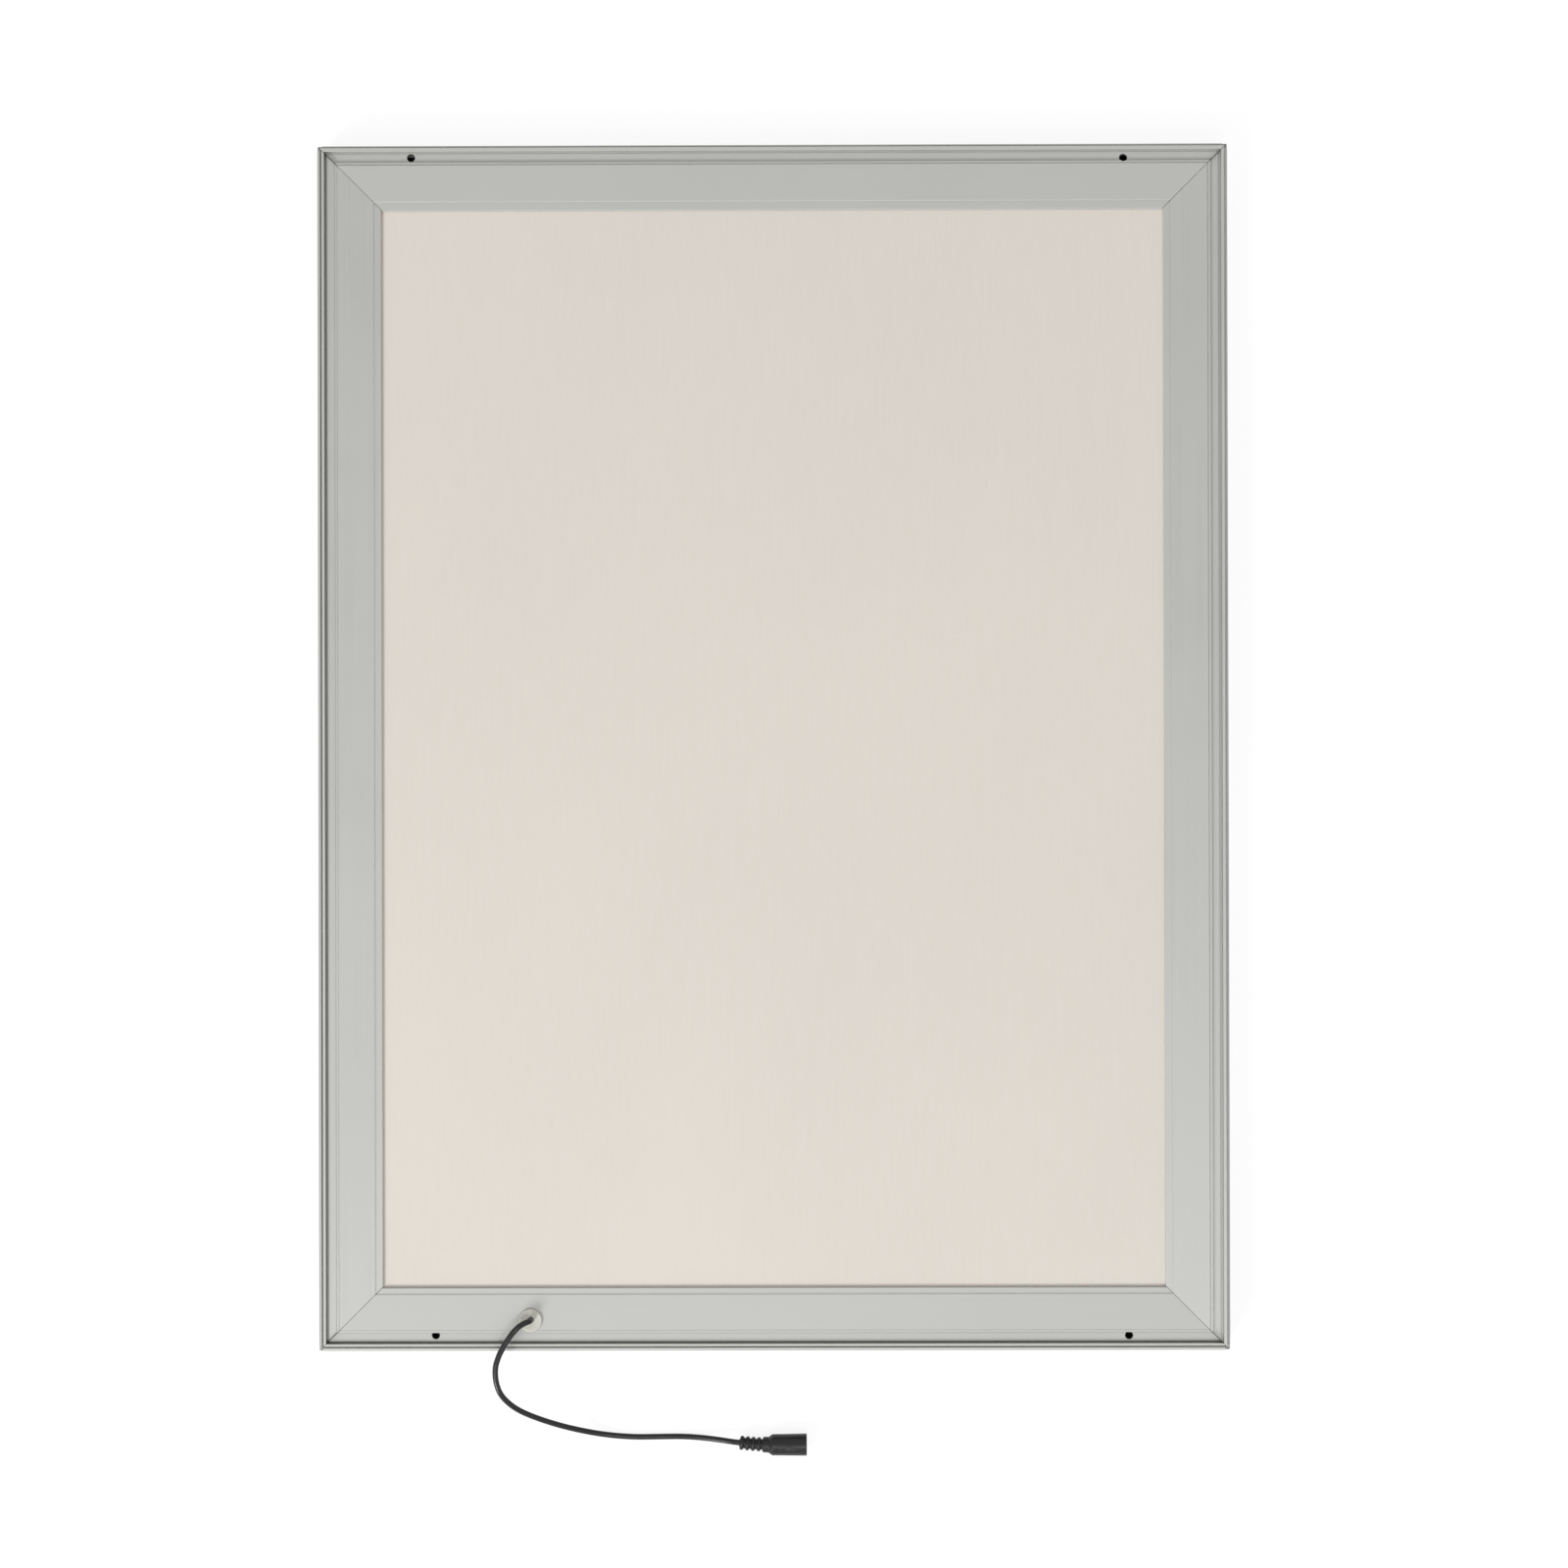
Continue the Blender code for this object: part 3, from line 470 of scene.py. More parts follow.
def turned(profile, facets, closed=False):
    """Turn a profile of (height, radius) points about +Z."""
    angles = [2 * pi * index / facets for index in range(facets)]
    rings = []
    for height, radius in profile:
        rings.append([(radius * cos(angle), radius * sin(angle), height) for angle in angles])
    return loft(rings, closed)


def arc(centre, radius, start, end, steps):
    """Points of an arc, its angles counted from +inset towards +depth."""
    angles = [start + (end - start) * index / steps for index in range(steps + 1)]
    return [(centre[0] + radius * cos(angle), centre[1] + radius * sin(angle)) for angle in angles]


def corner_points(before, corner, after, radius, steps):
    """Points that round one corner between its two neighbours."""
    to_before = (Vector(before) - Vector(corner)).normalized()
    to_after = (Vector(after) - Vector(corner)).normalized()
    half_angle = to_before.angle(to_after) / 2
    reach = radius / tan(half_angle)
    centre = Vector(corner) + (to_before + to_after).normalized() * (radius / sin(half_angle))
    first = Vector(corner) + to_before * reach - centre
    last = Vector(corner) + to_after * reach - centre
    turn = first.angle(last)
    points = []
    for index in range(steps + 1):
        share = index / steps
        blend = first * sin((1 - share) * turn) + last * sin(share * turn)
        points.append(tuple(centre + blend / sin(turn)))
    return points


def rounded(corners, steps, closed=True):
    """Round the corners of an outline; each corner ends with its radius, and zero keeps it sharp."""
    points = []
    count = len(corners)
    for index, corner in enumerate(corners):
        place = corner[:-1]
        radius = corner[-1]
        is_end = not closed and index in (0, count - 1)
        if radius == 0 or is_end:
            points.append(tuple(place))
            continue
        before = corners[index - 1][:-1]
        after = corners[(index + 1) % count][:-1]
        points.extend(corner_points(before, place, after, radius, steps))
    return points


def shrunk(outline, distance):
    """An outline moved inwards by a small distance."""
    area = sum(x0 * y1 - x1 * y0 for (x0, y0), (x1, y1) in zip(outline, outline[1:] + outline[:1]))
    side = 1 if area > 0 else -1
    points = []
    count = len(outline)
    for index, point in enumerate(outline):
        before = (Vector(point) - Vector(outline[index - 1])).normalized()
        after = (Vector(outline[(index + 1) % count]) - Vector(point)).normalized()
        normals = [Vector((-run.y, run.x)) * side for run in (before, after)]
        middle = (normals[0] + normals[1]).normalized()
        cosine = max(middle.dot(normals[0]), least_corner_cosine)
        points.append(tuple(Vector(point) + middle * (distance / cosine)))
    return points


def side_matrix(side, inset=0.0, depth=0.0):
    """Place of a piece on one side: its +X runs along the bar and its +Y points outwards."""
    move = Matrix.Translation((0.0, side_reach[side] - inset, rear_plane - depth))
    return Matrix.Rotation(side_turn[side], 4, "Z") @ move


def frame_outline(side):
    """Section of the fixed frame: hinge groove, outer wall, grooved channel, web and rear flange."""
    jaw_inset = cover_wall + clearance
    jaw_offset = jaw_inset - hinge_inset
    jaw_front = hinge_depth + sqrt(groove_radius**2 - jaw_offset**2) + jaw_wall
    groove_end = acos(jaw_offset / groove_radius)
    groove_start = -acos((lip_outer[side] - hinge_inset) / groove_radius)
    groove = arc((hinge_inset, hinge_depth), groove_radius, groove_start, groove_end, 2 * fine_steps)
    edge = profile_edge_radius
    fine = groove_edge_radius
    window = window_inset[side]
    flat_start = flat_edge[side]
    channel_end = channel_inner[side]
    corners = [(lip_outer[side], 0.0, fine)]
    corners += [(inset, depth, 0.0) for inset, depth in groove]
    corners += [
        (jaw_inset, jaw_front, fine),
        (side_wall_outer, jaw_front, 0.0),
        (side_wall_outer, side_wall_front, edge),
        (channel_outer, side_wall_front, edge),
        (channel_outer, key_rib_front, 0.0),
        (channel_outer + key_rib_reach, key_rib_front, fine),
        (channel_outer + key_rib_reach, key_rib_rear, fine),
        (channel_outer, key_rib_rear, 0.0),
        (channel_outer, floor_front, 0.0),
        (flat_outer, floor_front, 0.0),
        (flat_outer, key_rib_rear, 0.0),
        (flat_outer - key_rib_reach, key_rib_rear, fine),
        (flat_outer - key_rib_reach, key_rib_front, fine),
        (flat_outer, key_rib_front, 0.0),
        (flat_outer, web_front, edge),
        (web_inner, web_front, edge),
        (web_inner, flange_front, 0.0),
        (window, flange_front, edge),
        (window, flange_rear + flat_bevel_drop, window_edge_radius[side]),
        (window - flat_bevel_width, flange_rear, fine),
        (flat_inner, flange_rear, 0.0),
        (flat_inner, flat_bevel_drop, fine),
        (flat_inner - flat_bevel_width, 0.0, fine),
        (flat_start, 0.0, edge),
        (flat_start, ledge_depth + line_depth, 0.0),
        (flat_start - line_width, ledge_depth + line_depth, 0.0),
        (flat_start - line_width, ledge_depth, 0.0),
        (channel_end, ledge_depth, edge),
        (channel_end, channel_depth + line_depth, 0.0),
        (channel_end - line_width, channel_depth + line_depth, 0.0),
        (channel_end - line_width, channel_depth, 0.0),
        (lip_groove_inner[side], channel_depth, fine),
        (lip_groove_inner[side], lip_groove_depth[side], fine),
        (lip_inner[side], lip_groove_depth[side], fine),
        (lip_inner[side], 0.0, edge),
    ]
    return rounded(corners, edge_steps)


def mitred_bar(outline, half_length):
    """A bar whose ends follow the mitre planes of the frame, with a small chamfer round each end."""
    setback = mitre_gap / sqrt(2)
    end_outline = shrunk(outline, mitre_chamfer)
    sections = (
        (-1, end_outline, 0.0),
        (-1, outline, mitre_chamfer),
        (1, outline, mitre_chamfer),
        (1, end_outline, 0.0),
    )
    rings = []
    for direction, section, back in sections:
        ring = []
        for inset, depth in section:
            ring.append((direction * (half_length - inset - setback - back), -inset, -depth))
        rings.append(ring)
    return loft(rings)


def wall_hole_cutter(side, direction, from_corner, inset):
    """The drill of one wall screw hole, with the small chamfer at the channel's floor.

    In the top bar it goes through the edge of the ledge, in the bottom bar it stops under it.
    """
    wide = wall_hole_radius + wall_hole_chamfer
    profile = (
        (-floor_front - clearance, wall_hole_radius),
        (-channel_depth - wall_hole_chamfer, wall_hole_radius),
        (-channel_depth, wide),
        (-wall_hole_top[side] - wall_hole_chamfer, wall_hole_radius),
        (-wall_hole_top[side], wall_hole_radius),
    )
    place = side_matrix(side, inset).translation
    place.x = direction * (bar_half_length[side] - from_corner)
    return add_mesh("drill", turned(profile, hole_facets), None, Matrix.Translation(place))


def add_frame_profiles(materials):
    """The four fixed bars, with the wall screw holes and the cord outlet."""
    for side, half_length in bar_half_length.items():
        material = materials[bar_finish[side]]
        shape = mitred_bar(frame_outline(side), half_length)
        bar = add_mesh(f"profile_{side}", shape, material, side_matrix(side))
        cutters = []
        for direction, (from_corner, inset) in zip((-1, 1), wall_holes.get(side, ())):
            cutters.append(wall_hole_cutter(side, direction, from_corner, inset))
        if side == "bottom":
            radius = grommet_neck_radius + clearance
            profile = ((-2 * flange_front, radius), (flange_front, radius))
            place = Matrix.Translation((outlet.x, outlet.y, rear_plane))
            cutters.append(add_mesh("outlet_drill", turned(profile, hole_facets), None, place))
        if cutters:
            cut(bar, cutters)
        keep_flats_even(bar)
        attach(bar, "root")
        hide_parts(f"frame_profile_{side}")


def cover_outlines(side):
    """Section of a snap cover: the part in front of the hinge, and the round bead that turns in it."""
    front_depth = rear_plane
    slope = atan(cover_slope_drop / (cover_face_width - crown_width))
    lip_rear_inset = cover_face_width - cover_wall
    inner_crown_inset = crown_width - cover_wall * tan(slope / 2)
    inner_depth = front_depth - cover_wall
    lip_run = lip_rear_inset - crown_width
    inner_lip_depth = front_depth - lip_run * tan(slope) - cover_wall / cos(slope)
    edge = cover_edge_radius
    corners = [
        (0.0, cover_trim_depth, 0.0),
        (0.0, front_depth, cover_outer_radius),
        (crown_width, front_depth, cover_crown_radius),
        (cover_face_width, front_depth - cover_slope_drop, cover_nose_radius),
        (cover_face_width, cover_lip_end, edge),
        (lip_rear_inset, cover_lip_end, edge),
        (lip_rear_inset, inner_lip_depth, edge),
        (inner_crown_inset, inner_depth, 0.0),
        (hook_inset + hook_wall, inner_depth, 0.0),
        (hook_inset + hook_wall, inner_depth - hook_height, edge),
        (hook_inset, inner_depth - hook_height, edge),
        (hook_inset, inner_depth, 0.0),
        (cover_wall, inner_depth, cover_outer_radius - cover_wall),
        (cover_wall, cover_trim_depth, 0.0),
    ]
    front = rounded(corners, fine_steps, closed=False)
    neck_angle = acos((cover_wall - hinge_inset) / bead_radius)
    axis = (hinge_inset, hinge_depth)
    start, end = bead_groove_start[side], bead_groove_end[side]
    bead = arc(axis, bead_radius, neck_angle, start, 3 * fine_steps)
    bead += arc(axis, bead_groove_floor[side], start, end, edge_steps)
    bead += arc(axis, bead_radius, end, -pi, fine_steps)
    return front, bead


def cover_shape(side, half_length):
    """A snap cover about its hinge axis: mitred in front, its bead ending in cones that clear the next."""
    front, bead = cover_outlines(side)
    cone_base = half_length - 2 * bead_radius - cover_setback
    cone_tip = cone_base + bead_radius * (1 - bead_tip_share)
    shape = bmesh.new()

    def add_vertex(along, point, share=1):
        inset, depth = point
        return shape.verts.new((along, (hinge_inset - inset) * share, (hinge_depth - depth) * share))

    mitred = {}
    beads = {}
    for direction in (-1, 1):
        ring = [add_vertex(direction * (half_length - point[0] - cover_setback), point) for point in front]
        section = (front[-1], *bead, front[0])
        chain = [add_vertex(direction * cone_base, point) for point in section]
        tip = [add_vertex(direction * cone_tip, point, bead_tip_share) for point in section]
        mitred[direction] = ring
        beads[direction] = chain
        shape.faces.new(ring)
        shape.faces.new(tip)
        for index in range(len(section)):
            other = (index + 1) % len(section)
            shape.faces.new((chain[index], chain[other], tip[other], tip[index]))
        shape.faces.new((ring[0], chain[-1], chain[0], ring[-1]))
    low, high = mitred[-1], mitred[1]
    low_bead, high_bead = beads[-1], beads[1]
    shape.faces.new((low[0], low[1], high[1], high[0], high_bead[-1], low_bead[-1]))
    shape.faces.new((low[-1], low[-2], high[-2], high[-1], high_bead[0], low_bead[0]))
    for index in range(1, len(front) - 2):
        shape.faces.new((low[index], low[index + 1], high[index + 1], high[index]))
    for index in range(len(low_bead) - 1):
        shape.faces.new((low_bead[index], low_bead[index + 1], high_bead[index + 1], high_bead[index]))
    return shape


def add_snap_covers(materials):
    """The four covers, each moving with its own body."""
    for side, half_length in bar_half_length.items():
        material = materials[bar_finish[side]]
        matrix = side_matrix(side, hinge_inset, hinge_depth)
        cover = add_mesh(f"cover_{side}", cover_shape(side, half_length), material, matrix)
        keep_flats_even(cover)
        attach(cover, f"cover_{side}")
        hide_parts(f"snap_cover_{side}")


def add_grommet(material):
    """The bushing in the rear flange: a rounded, slightly dished disc and a neck through the hole."""
    disc_bottom = grommet_top - grommet_disc_height
    corners = (
        (grommet_bottom, grommet_bore, 0.0),
        (grommet_bottom, grommet_neck_radius, grommet_neck_gap),
        (disc_bottom, grommet_neck_radius, 0.0),
        (disc_bottom, grommet_disc_radius, grommet_inner_edge_radius),
        (grommet_top, grommet_disc_radius, grommet_edge_radius),
        (grommet_top - grommet_dish, grommet_bore, grommet_inner_edge_radius),
    )
    shape = turned(rounded(corners, fine_steps), grommet_facets, closed=True)
    piece = add_mesh("cord_grommet", shape, material, Matrix.Translation((outlet.x, outlet.y, 0.0)))
    keep_flats_even(piece)
    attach(piece, "root")
    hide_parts("grommet")


def smooth_route(route, samples):
    """Points on a smooth curve through the chosen points."""
    places = np.array(route)
    before = 2 * places[:1] - places[1:2]
    after = 2 * places[-1:] - places[-2:-1]
    padded = np.concatenate((before, places, after))
    fine = []
    for index in range(1, len(padded) - 2):
        earlier, start, end, later = padded[index - 1:index + 3]
        for sample in range(samples):
            share = sample / samples
            straight = 2 * start + (end - earlier) * share
            bend = (2 * earlier - 5 * start + 4 * end - later) * share**2
            twist = (3 * start - earlier - 3 * end + later) * share**3
            fine.append(0.5 * (straight + bend + twist))
    fine.append(padded[-2])
    return np.array(fine)


def add_cord(material):
    """The free cord, from the outlet over the lower cover to the socket."""
    points = smooth_route(cord_route, fine_steps)
    curve = bpy.data.curves.new("cord", "CURVE")
    curve.dimensions = "3D"
    curve.bevel_depth = cord_diameter / 2
    curve.bevel_resolution = fine_steps
    curve.use_fill_caps = True
    spline = curve.splines.new("POLY")
    spline.points.add(len(points) - 1)
    for target, point in zip(spline.points, points):
        target.co = (*point, 1.0)
    spline.use_smooth = True
    curve.materials.append(material)
    cord = bpy.data.objects.new("cord", curve)
    bpy.context.scene.collection.objects.link(cord)
    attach(cord, "root")
    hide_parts("power_cord")


def socket_outline():
    """Outline of the socket's shell: ribbed sleeve, shallow neck, taper, ringed body and mouth."""
    corners = [(-sleeve_collar_length, sleeve_collar_radius, 0.0), (0.0, sleeve_collar_radius, 0.0)]
    for index in range(sleeve_rib_count):
        start = index * sleeve_rib_pitch
        end = start + sleeve_rib_width
        if index > 0:
            corners.append((start, sleeve_core_radius, 0.0))
        corners.append((start, sleeve_rib_radius, sleeve_rib_edge))
        corners.append((end, sleeve_rib_radius, sleeve_rib_edge))
        corners.append((end, sleeve_core_radius, 0.0))
    corners += [
        (socket_neck_start, sleeve_core_radius, 0.0),
        (socket_neck_start, socket_neck_radius, socket_neck_edge),
        (socket_taper_start, socket_neck_radius, socket_neck_edge),
        (socket_body_start, socket_rear_radius, socket_soft_edge),
    ]
    grow = (socket_front_radius - socket_rear_radius) / (socket_length - socket_body_start)
    for index in range(socket_ring_count):
        place = socket_ring_start + index * socket_ring_pitch
        surface = socket_rear_radius + grow * (place - socket_body_start)
        corners += [
            (place - socket_ring_width, surface, 0.0),
            (place, surface - socket_ring_depth, 0.0),
            (place + socket_ring_width, surface, 0.0),
        ]
    corners += [
        (socket_length, socket_front_radius, socket_soft_edge),
        (socket_length, socket_bore_radius, socket_soft_edge),
        (socket_length - socket_bore_depth, socket_bore_radius, 0.0),
    ]
    return rounded(corners, fine_steps, closed=False)


def bend_sleeve(shell):
    """Bend the ribbed sleeve towards the cord, which comes in a little above the body's axis."""
    for vertex in shell.verts:
        share = max(1 - vertex.co.z / socket_body_start, 0.0)
        slope = sleeve_rise * sleeve_bend_power * share**(sleeve_bend_power - 1) / socket_body_start
        vertex.co.z += slope * vertex.co.y
        vertex.co.y += sleeve_rise * share**sleeve_bend_power


def add_power_socket(shell_material, contact_material):
    """The socket's shell, its contact sleeve and its centre pin."""
    lie = Matrix.Rotation(socket_turn, 4, "Z") @ Matrix.Rotation(pi / 2, 4, "Y")
    matrix = Matrix.Translation((*socket_place, socket_front_radius)) @ lie
    shape = turned(socket_outline(), socket_facets)
    bend_sleeve(shape)
    shell = add_mesh("socket_shell", shape, shell_material, matrix)
    start = socket_length - socket_bore_depth + clearance
    outer = socket_bore_radius - clearance
    ring = (
        (start, outer - contact_wall),
        (start, outer),
        (start + contact_length, outer),
        (start + contact_length, outer - contact_wall),
    )
    contact = add_mesh("socket_contact", turned(ring, socket_facets, closed=True), contact_material, matrix)
    pin_corners = (
        (start, 0.0, 0.0),
        (start, pin_base_radius, 0.0),
        (start + pin_base_thickness, pin_base_radius, pin_nose / 2),
        (start + pin_base_thickness, pin_radius, 0.0),
        (start + pin_length, pin_radius, pin_nose),
        (start + pin_length, 0.0, 0.0),
    )
    pin_profile = rounded(pin_corners, edge_steps, closed=False)[1:-1]
    pin = add_mesh("socket_pin", turned(pin_profile, socket_facets), contact_material, matrix)
    pieces = {
        "dc_socket_shell": (shell, "socket_black"),
        "dc_socket_contact": (contact, "contact_nickel"),
        "dc_socket_pin": (pin, "contact_nickel"),
    }
    for node_name, (piece, slot_name) in pieces.items():
        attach(piece, "root")
        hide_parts(node_name)
    return [piece for piece, slot_name in pieces.values()]


def set_inputs(tree, node, inputs):
    """Set a node's inputs, or link them where other nodes' outputs are given."""
    for key, value in inputs.items():
        if isinstance(value, bpy.types.NodeSocket):
            tree.links.new(value, node.inputs[key])
        else:
            node.inputs[key].default_value = value


def add_node(tree, kind, inputs=None, **settings):
    """A shader node with its settings and inputs."""
    made = tree.nodes.new(kind)
    for name, value in settings.items():
        setattr(made, name, value)
    set_inputs(tree, made, inputs or {})
    return made


def place_along(tree, axis):
    """The place on the object along one axis."""
    place = add_node(tree, "ShaderNodeTexCoord").outputs["Object"]
    return add_node(tree, "ShaderNodeSeparateXYZ", {"Vector": place}).outputs[axis]


def noise(tree, scale, detail=2.0, roughness=0.5):
    """Soft noise between 0 and 1; its scale is one number, or one for each axis of the object."""
    place = add_node(tree, "ShaderNodeTexCoord").outputs["Object"]
    scales = scale if isinstance(scale, tuple) else (scale, scale, scale)
    stretched = add_node(tree, "ShaderNodeMapping", {"Vector": place, "Scale": scales}).outputs["Vector"]
    inputs = {"Vector": stretched, "Scale": 1.0, "Detail": detail, "Roughness": roughness}
    return add_node(tree, "ShaderNodeTexNoise", inputs).outputs["Fac"]


def ranged(tree, value, low, high, from_low=noise_low, from_high=noise_high):
    """A value spread from one range to another, by default from the range of the noise."""
    inputs = {"Value": value, "From Min": from_low, "From Max": from_high, "To Min": low, "To Max": high}
    return add_node(tree, "ShaderNodeMapRange", inputs).outputs["Result"]


def combine(tree, operation, first, second):
    """The outcome of one calculation with two values."""
    made = add_node(tree, "ShaderNodeMath", {0: first, 1: second}, operation=operation)
    return made.outputs["Value"]


def mix_colours(tree, share, first, second):
    """A colour between two others; the sockets of a mix node share their names, so they go by number."""
    inputs = {0: share, 6: first, 7: second}
    return add_node(tree, "ShaderNodeMix", inputs, data_type="RGBA").outputs[2]


def bumped(tree, height, distance):
    """A surface normal from a height."""
    inputs = {"Height": height, "Distance": distance, "Strength": 1.0}
    return add_node(tree, "ShaderNodeBump", inputs).outputs["Normal"]


def new_material(name):
    """A new material, its node tree and its surface shader."""
    material = bpy.data.materials.new(name)
    material.use_nodes = True
    tree = material.node_tree
    return material, tree, tree.nodes["Principled BSDF"]


def grey(level, warmth=0.0):
    """A colour close to grey, a little warmer or cooler."""
    return (level * (1 + warmth), level, level * (1 - warmth), 1.0)


def make_aluminium(name, streak_scale, roughness_level, level):
    """Satin anodised aluminium: lines along the bar, faint smudges, fine grain and painted shade in the
    grooves.
    """
    material, tree, shader = new_material(name)
    streaks = noise(tree, streak_scale, detail=3.0)
    smudges = noise(tree, smudge_scale, detail=4.0, roughness=smudge_detail_roughness)
    grain = noise(tree, aluminium_grain_scale, detail=1.0)
    streak_tones = ranged(tree, streaks, -streak_tone, streak_tone)
    smudge_tones = ranged(tree, smudges, -smudge_tone, smudge_tone)
    share = ranged(tree, combine(tree, "ADD", streak_tones, smudge_tones), 0.0, 1.0, -1.0, 1.0)
    # The level is painted light, lighter for the bars across than for the upright bars
    dull = (*(part * level for part in aluminium_dull), 1.0)
    bright = (*(part * level for part in aluminium_bright), 1.0)
    unshaded = mix_colours(tree, share, dull, bright)
    # Painted shade: below the channel's floor the colour darkens, fully dark at the bottom of the deepest
    # grooves
    height_up = place_along(tree, "Z")
    painted_shade = ranged(tree, height_up, 0.0, 1.0, rear_plane - channel_depth, rear_plane - painted_shade_depth)
    rough_streaks = ranged(tree, streaks, *streak_roughness)
    rough_smudges = ranged(tree, smudges, *smudge_roughness)
    uneven = combine(tree, "ADD", rough_streaks, rough_smudges)
    height = combine(tree, "ADD", streaks, combine(tree, "MULTIPLY", grain, grain_share))
    set_inputs(tree, shader, {
        "Base Color": mix_colours(tree, painted_shade, unshaded, painted_shade_colour),
        "Metallic": aluminium_metallic,
        "Roughness": combine(tree, "ADD", uneven, roughness_level),
        "Normal": bumped(tree, height, aluminium_grain_height),
    })
    return material


def make_steel(name, level, roughness_level):
    """Plated or tempered steel with fine scratches and uneven shine."""
    material, tree, shader = new_material(name)
    scratches = noise(tree, steel_scratch_scale, detail=3.0)
    clouds = noise(tree, steel_cloud_scale, detail=3.0)
    dull = grey(level * steel_dull_share, -steel_warmth)
    bright = grey(level * steel_bright_share, steel_warmth)
    roughness = ranged(tree, scratches, roughness_level - steel_smoother, roughness_level + steel_rougher)
    set_inputs(tree, shader, {
        "Base Color": mix_colours(tree, ranged(tree, clouds, 0.0, 1.0), dull, bright),
        "Metallic": 1.0,
        "Roughness": roughness,
        "Normal": bumped(tree, scratches, steel_scratch_height),
    })
    return material


def make_panel(name):
    """Off-white back sheet: broad soft blotches, pinker above and creamier below, with a fine weave."""
    material, tree, shader = new_material(name)
    upper = ranged(tree, place_along(tree, "Y"), 0.0, 1.0, -half_height, half_height)
    base = mix_colours(tree, upper, panel_lower, panel_upper)
    blotches = noise(tree, blotch_scale, detail=3.0, roughness=blotch_detail_roughness)
    blotched = mix_colours(tree, ranged(tree, blotches, 0.0, blotch_share), base, panel_blotch)
    fibres = ranged(tree, noise(tree, fibre_scale), -fibre_tone, fibre_tone)
    weave = ranged(tree, noise(tree, weave_scale), -weave_tone, weave_tone)
    texture = combine(tree, "ADD", fibres, weave)
    tone = fibre_tone + weave_tone
    lighter = ranged(tree, texture, 0.0, weave_share, -tone, tone)
    set_inputs(tree, shader, {
        "Base Color": mix_colours(tree, lighter, blotched, panel_weave),
        "Roughness": ranged(tree, blotches, *panel_roughness),
        "Normal": bumped(tree, texture, weave_height),
        "Specular IOR Level": panel_shine,
    })
    return material


def make_plastic(name, dark, light, roughness_level, grain_scale, grain_height, shine):
    """Moulded plastic or rubber: slight clouds in its colour, a fine grain and uneven shine."""
    material, tree, shader = new_material(name)
    clouds = noise(tree, plastic_cloud_scale, detail=3.0)
    grain = noise(tree, grain_scale)
    roughness = ranged(tree, clouds, roughness_level - plastic_smoother, roughness_level + plastic_rougher)
    set_inputs(tree, shader, {
        "Base Color": mix_colours(tree, ranged(tree, clouds, 0.0, 1.0), dark, light),
        "Roughness": roughness,
        "Normal": bumped(tree, grain, grain_height),
        "Specular IOR Level": shine,
    })
    return material


def make_clear_sheet(name, tint):
    """Clear acrylic with a few hair scratches in its gloss."""
    material, tree, shader = new_material(name)
    hazes = noise(tree, haze_scale, detail=3.0)
    scratches = noise(tree, hair_scratch_scale)
    set_inputs(tree, shader, {
        "Base Color": mix_colours(tree, ranged(tree, hazes, 0.0, 1.0), tint, haze_colour),
        "Roughness": ranged(tree, hazes, *clear_roughness),
        "Normal": bumped(tree, scratches, hair_scratch_height),
        "Transmission Weight": 1.0,
        "IOR": acrylic_index,
    })
    return material


def make_opal_sheet(name):
    """Opal acrylic that lets a little light through."""
    material, tree, shader = new_material(name)
    clouds = noise(tree, opal_cloud_scale, detail=3.0)
    grain = noise(tree, opal_grain_scale, detail=1.0)
    dull = grey(opal_dull, opal_warmth)
    set_inputs(tree, shader, {
        "Base Color": mix_colours(tree, ranged(tree, clouds, 0.0, 1.0), dull, grey(opal_bright)),
        "Roughness": ranged(tree, clouds, *opal_roughness),
        "Normal": bumped(tree, grain, opal_grain_height),
        "Transmission Weight": opal_transmission,
    })
    return material


def make_strip_board(name):
    """White circuit board, and the yellow light-emitting packages that stand on it."""
    material, tree, shader = new_material(name)
    distance = combine(tree, "ABSOLUTE", place_along(tree, "X"), 0.0)
    on_package = combine(tree, "LESS_THAN", distance, half_width - package_inset)
    clouds = noise(tree, board_cloud_scale, detail=3.0)
    dull = grey(board_dull, board_warmth)
    board = mix_colours(tree, ranged(tree, clouds, 0.0, 1.0), dull, grey(board_bright))
    set_inputs(tree, shader, {
        "Base Color": mix_colours(tree, on_package, board, package_yellow),
        "Roughness": ranged(tree, clouds, *board_roughness),
        "Normal": bumped(tree, clouds, board_cloud_height),
    })
    return material


def make_materials():
    """Every finish of the light box, by name."""
    makers = (
        (make_aluminium, aluminiums),
        (make_steel, steels),
        (make_plastic, plastics),
        (make_clear_sheet, clear_sheets),
    )
    materials = {}
    for make, table in makers:
        for name, settings in table.items():
            materials[name] = make(name, *settings)
    materials["panel_white"] = make_panel("panel_white")
    materials["opal_sheet"] = make_opal_sheet("opal_sheet")
    materials["strip_board"] = make_strip_board("strip_board")
    return materials


def dress_nodes(materials):
    """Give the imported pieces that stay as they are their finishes."""
    for name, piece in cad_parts.items():
        for start, finish in node_finishes.items():
            if name.startswith(start):
                piece.data.materials.clear()
                piece.data.materials.append(materials[finish])


def seen_directly(tree):
    """1 for the camera's rays and those that gloss or clear parts send on, and 0 for all other light."""
    path = add_node(tree, "ShaderNodeLightPath")
    seen = combine(tree, "MAXIMUM", path.outputs["Is Camera Ray"], path.outputs["Is Glossy Ray"])
    return combine(tree, "MAXIMUM", seen, path.outputs["Is Transmission Ray"])


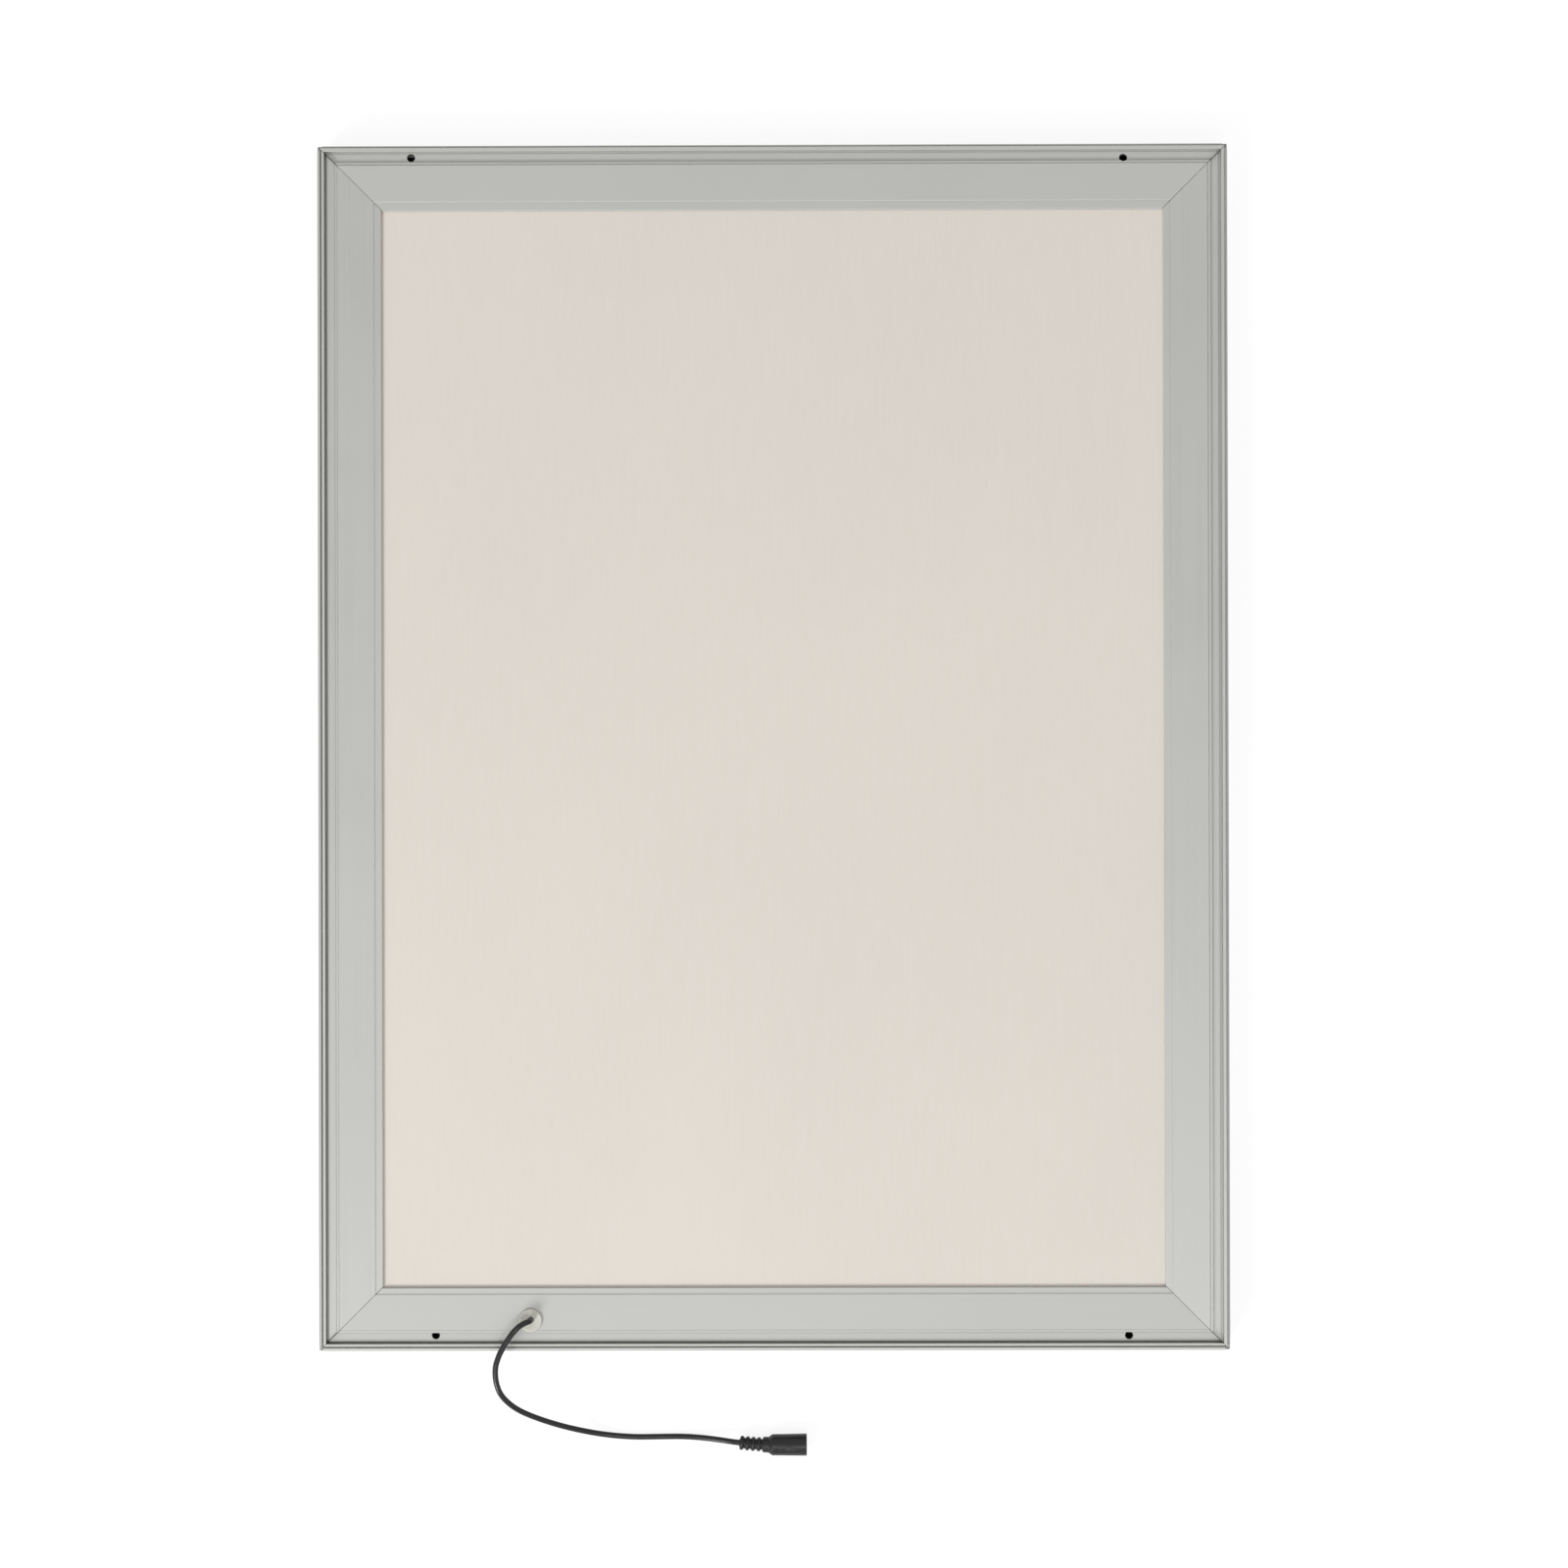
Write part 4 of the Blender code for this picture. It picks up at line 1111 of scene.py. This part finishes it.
def make_floor_material():
    """Pale floor that shows white to the camera and keeps a faint shadow of the box."""
    material = bpy.data.materials.new("pale_floor")
    material.use_nodes = True
    tree = material.node_tree
    tree.nodes.clear()
    mottle = ranged(tree, noise(tree, floor_mottle_scale), 0.0, 1.0)
    faint = mix_colours(tree, mottle, *(grey(level) for level in floor_seen_greys))
    plain = mix_colours(tree, mottle, *(grey(level) for level in floor_lit_greys))
    shown = add_node(tree, "ShaderNodeBsdfDiffuse", {"Color": faint}).outputs["BSDF"]
    glow_inputs = {"Color": grey(1.0), "Strength": floor_glow}
    glow = add_node(tree, "ShaderNodeEmission", glow_inputs).outputs["Emission"]
    both = add_node(tree, "ShaderNodeAddShader", {0: shown, 1: glow}).outputs["Shader"]
    lit = add_node(tree, "ShaderNodeBsdfDiffuse", {"Color": plain}).outputs["BSDF"]
    mixed = add_node(tree, "ShaderNodeMixShader", {0: seen_directly(tree), 1: lit, 2: both}).outputs["Shader"]
    add_node(tree, "ShaderNodeOutputMaterial", {"Surface": mixed})
    return material


def add_floor():
    """The plain pale floor."""
    level = cad_box[0][2] - floor_drop
    shape = bmesh.new()
    corners = ((-1, -1), (1, -1), (1, 1), (-1, 1))
    shape.faces.new([shape.verts.new((x * floor_reach, y * floor_reach, level)) for x, y in corners])
    add_mesh("floor", shape, make_floor_material())


def add_world():
    """White to the camera and in reflections; as light, a soft even sky."""
    world = bpy.data.worlds.new("studio")
    bpy.context.scene.world = world
    world.use_nodes = True
    tree = world.node_tree
    tree.nodes.clear()
    skies = []
    for colour, strength in ((grey(1.0, sky_warmth), sky_strength), (grey(1.0), 1.0)):
        sky = add_node(tree, "ShaderNodeBackground", {"Color": colour, "Strength": strength})
        skies.append(sky.outputs["Background"])
    inputs = {0: seen_directly(tree), 1: skies[0], 2: skies[1]}
    mixed = add_node(tree, "ShaderNodeMixShader", inputs).outputs["Shader"]
    add_node(tree, "ShaderNodeOutputWorld", {"Surface": mixed})


def add_lamps():
    """A soft lamp above, and a larger key lamp from the lower left."""
    for name, (place, size, power) in lamps.items():
        data = bpy.data.lights.new(name, "AREA")
        data.size = size
        data.energy = power
        lamp = bpy.data.objects.new(name, data)
        turn = (-Vector(place)).to_track_quat("-Z", "Y").to_matrix().to_4x4()
        lamp.matrix_world = Matrix.Translation(place) @ turn
        bpy.context.scene.collection.objects.link(lamp)


def main():
    """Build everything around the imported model."""
    add_camera()
    materials = make_materials()
    socket_pieces = add_power_socket(materials["socket_black"], materials["nickel_plate"])
    add_cord(materials["cord_black"])
    add_frame_profiles(materials)
    add_snap_covers(materials)
    add_grommet(materials["grommet_cream"])
    dress_nodes(materials)
    add_floor()
    add_world()
    add_lamps()
    bpy.context.scene.view_settings.view_transform = "Standard"


main()
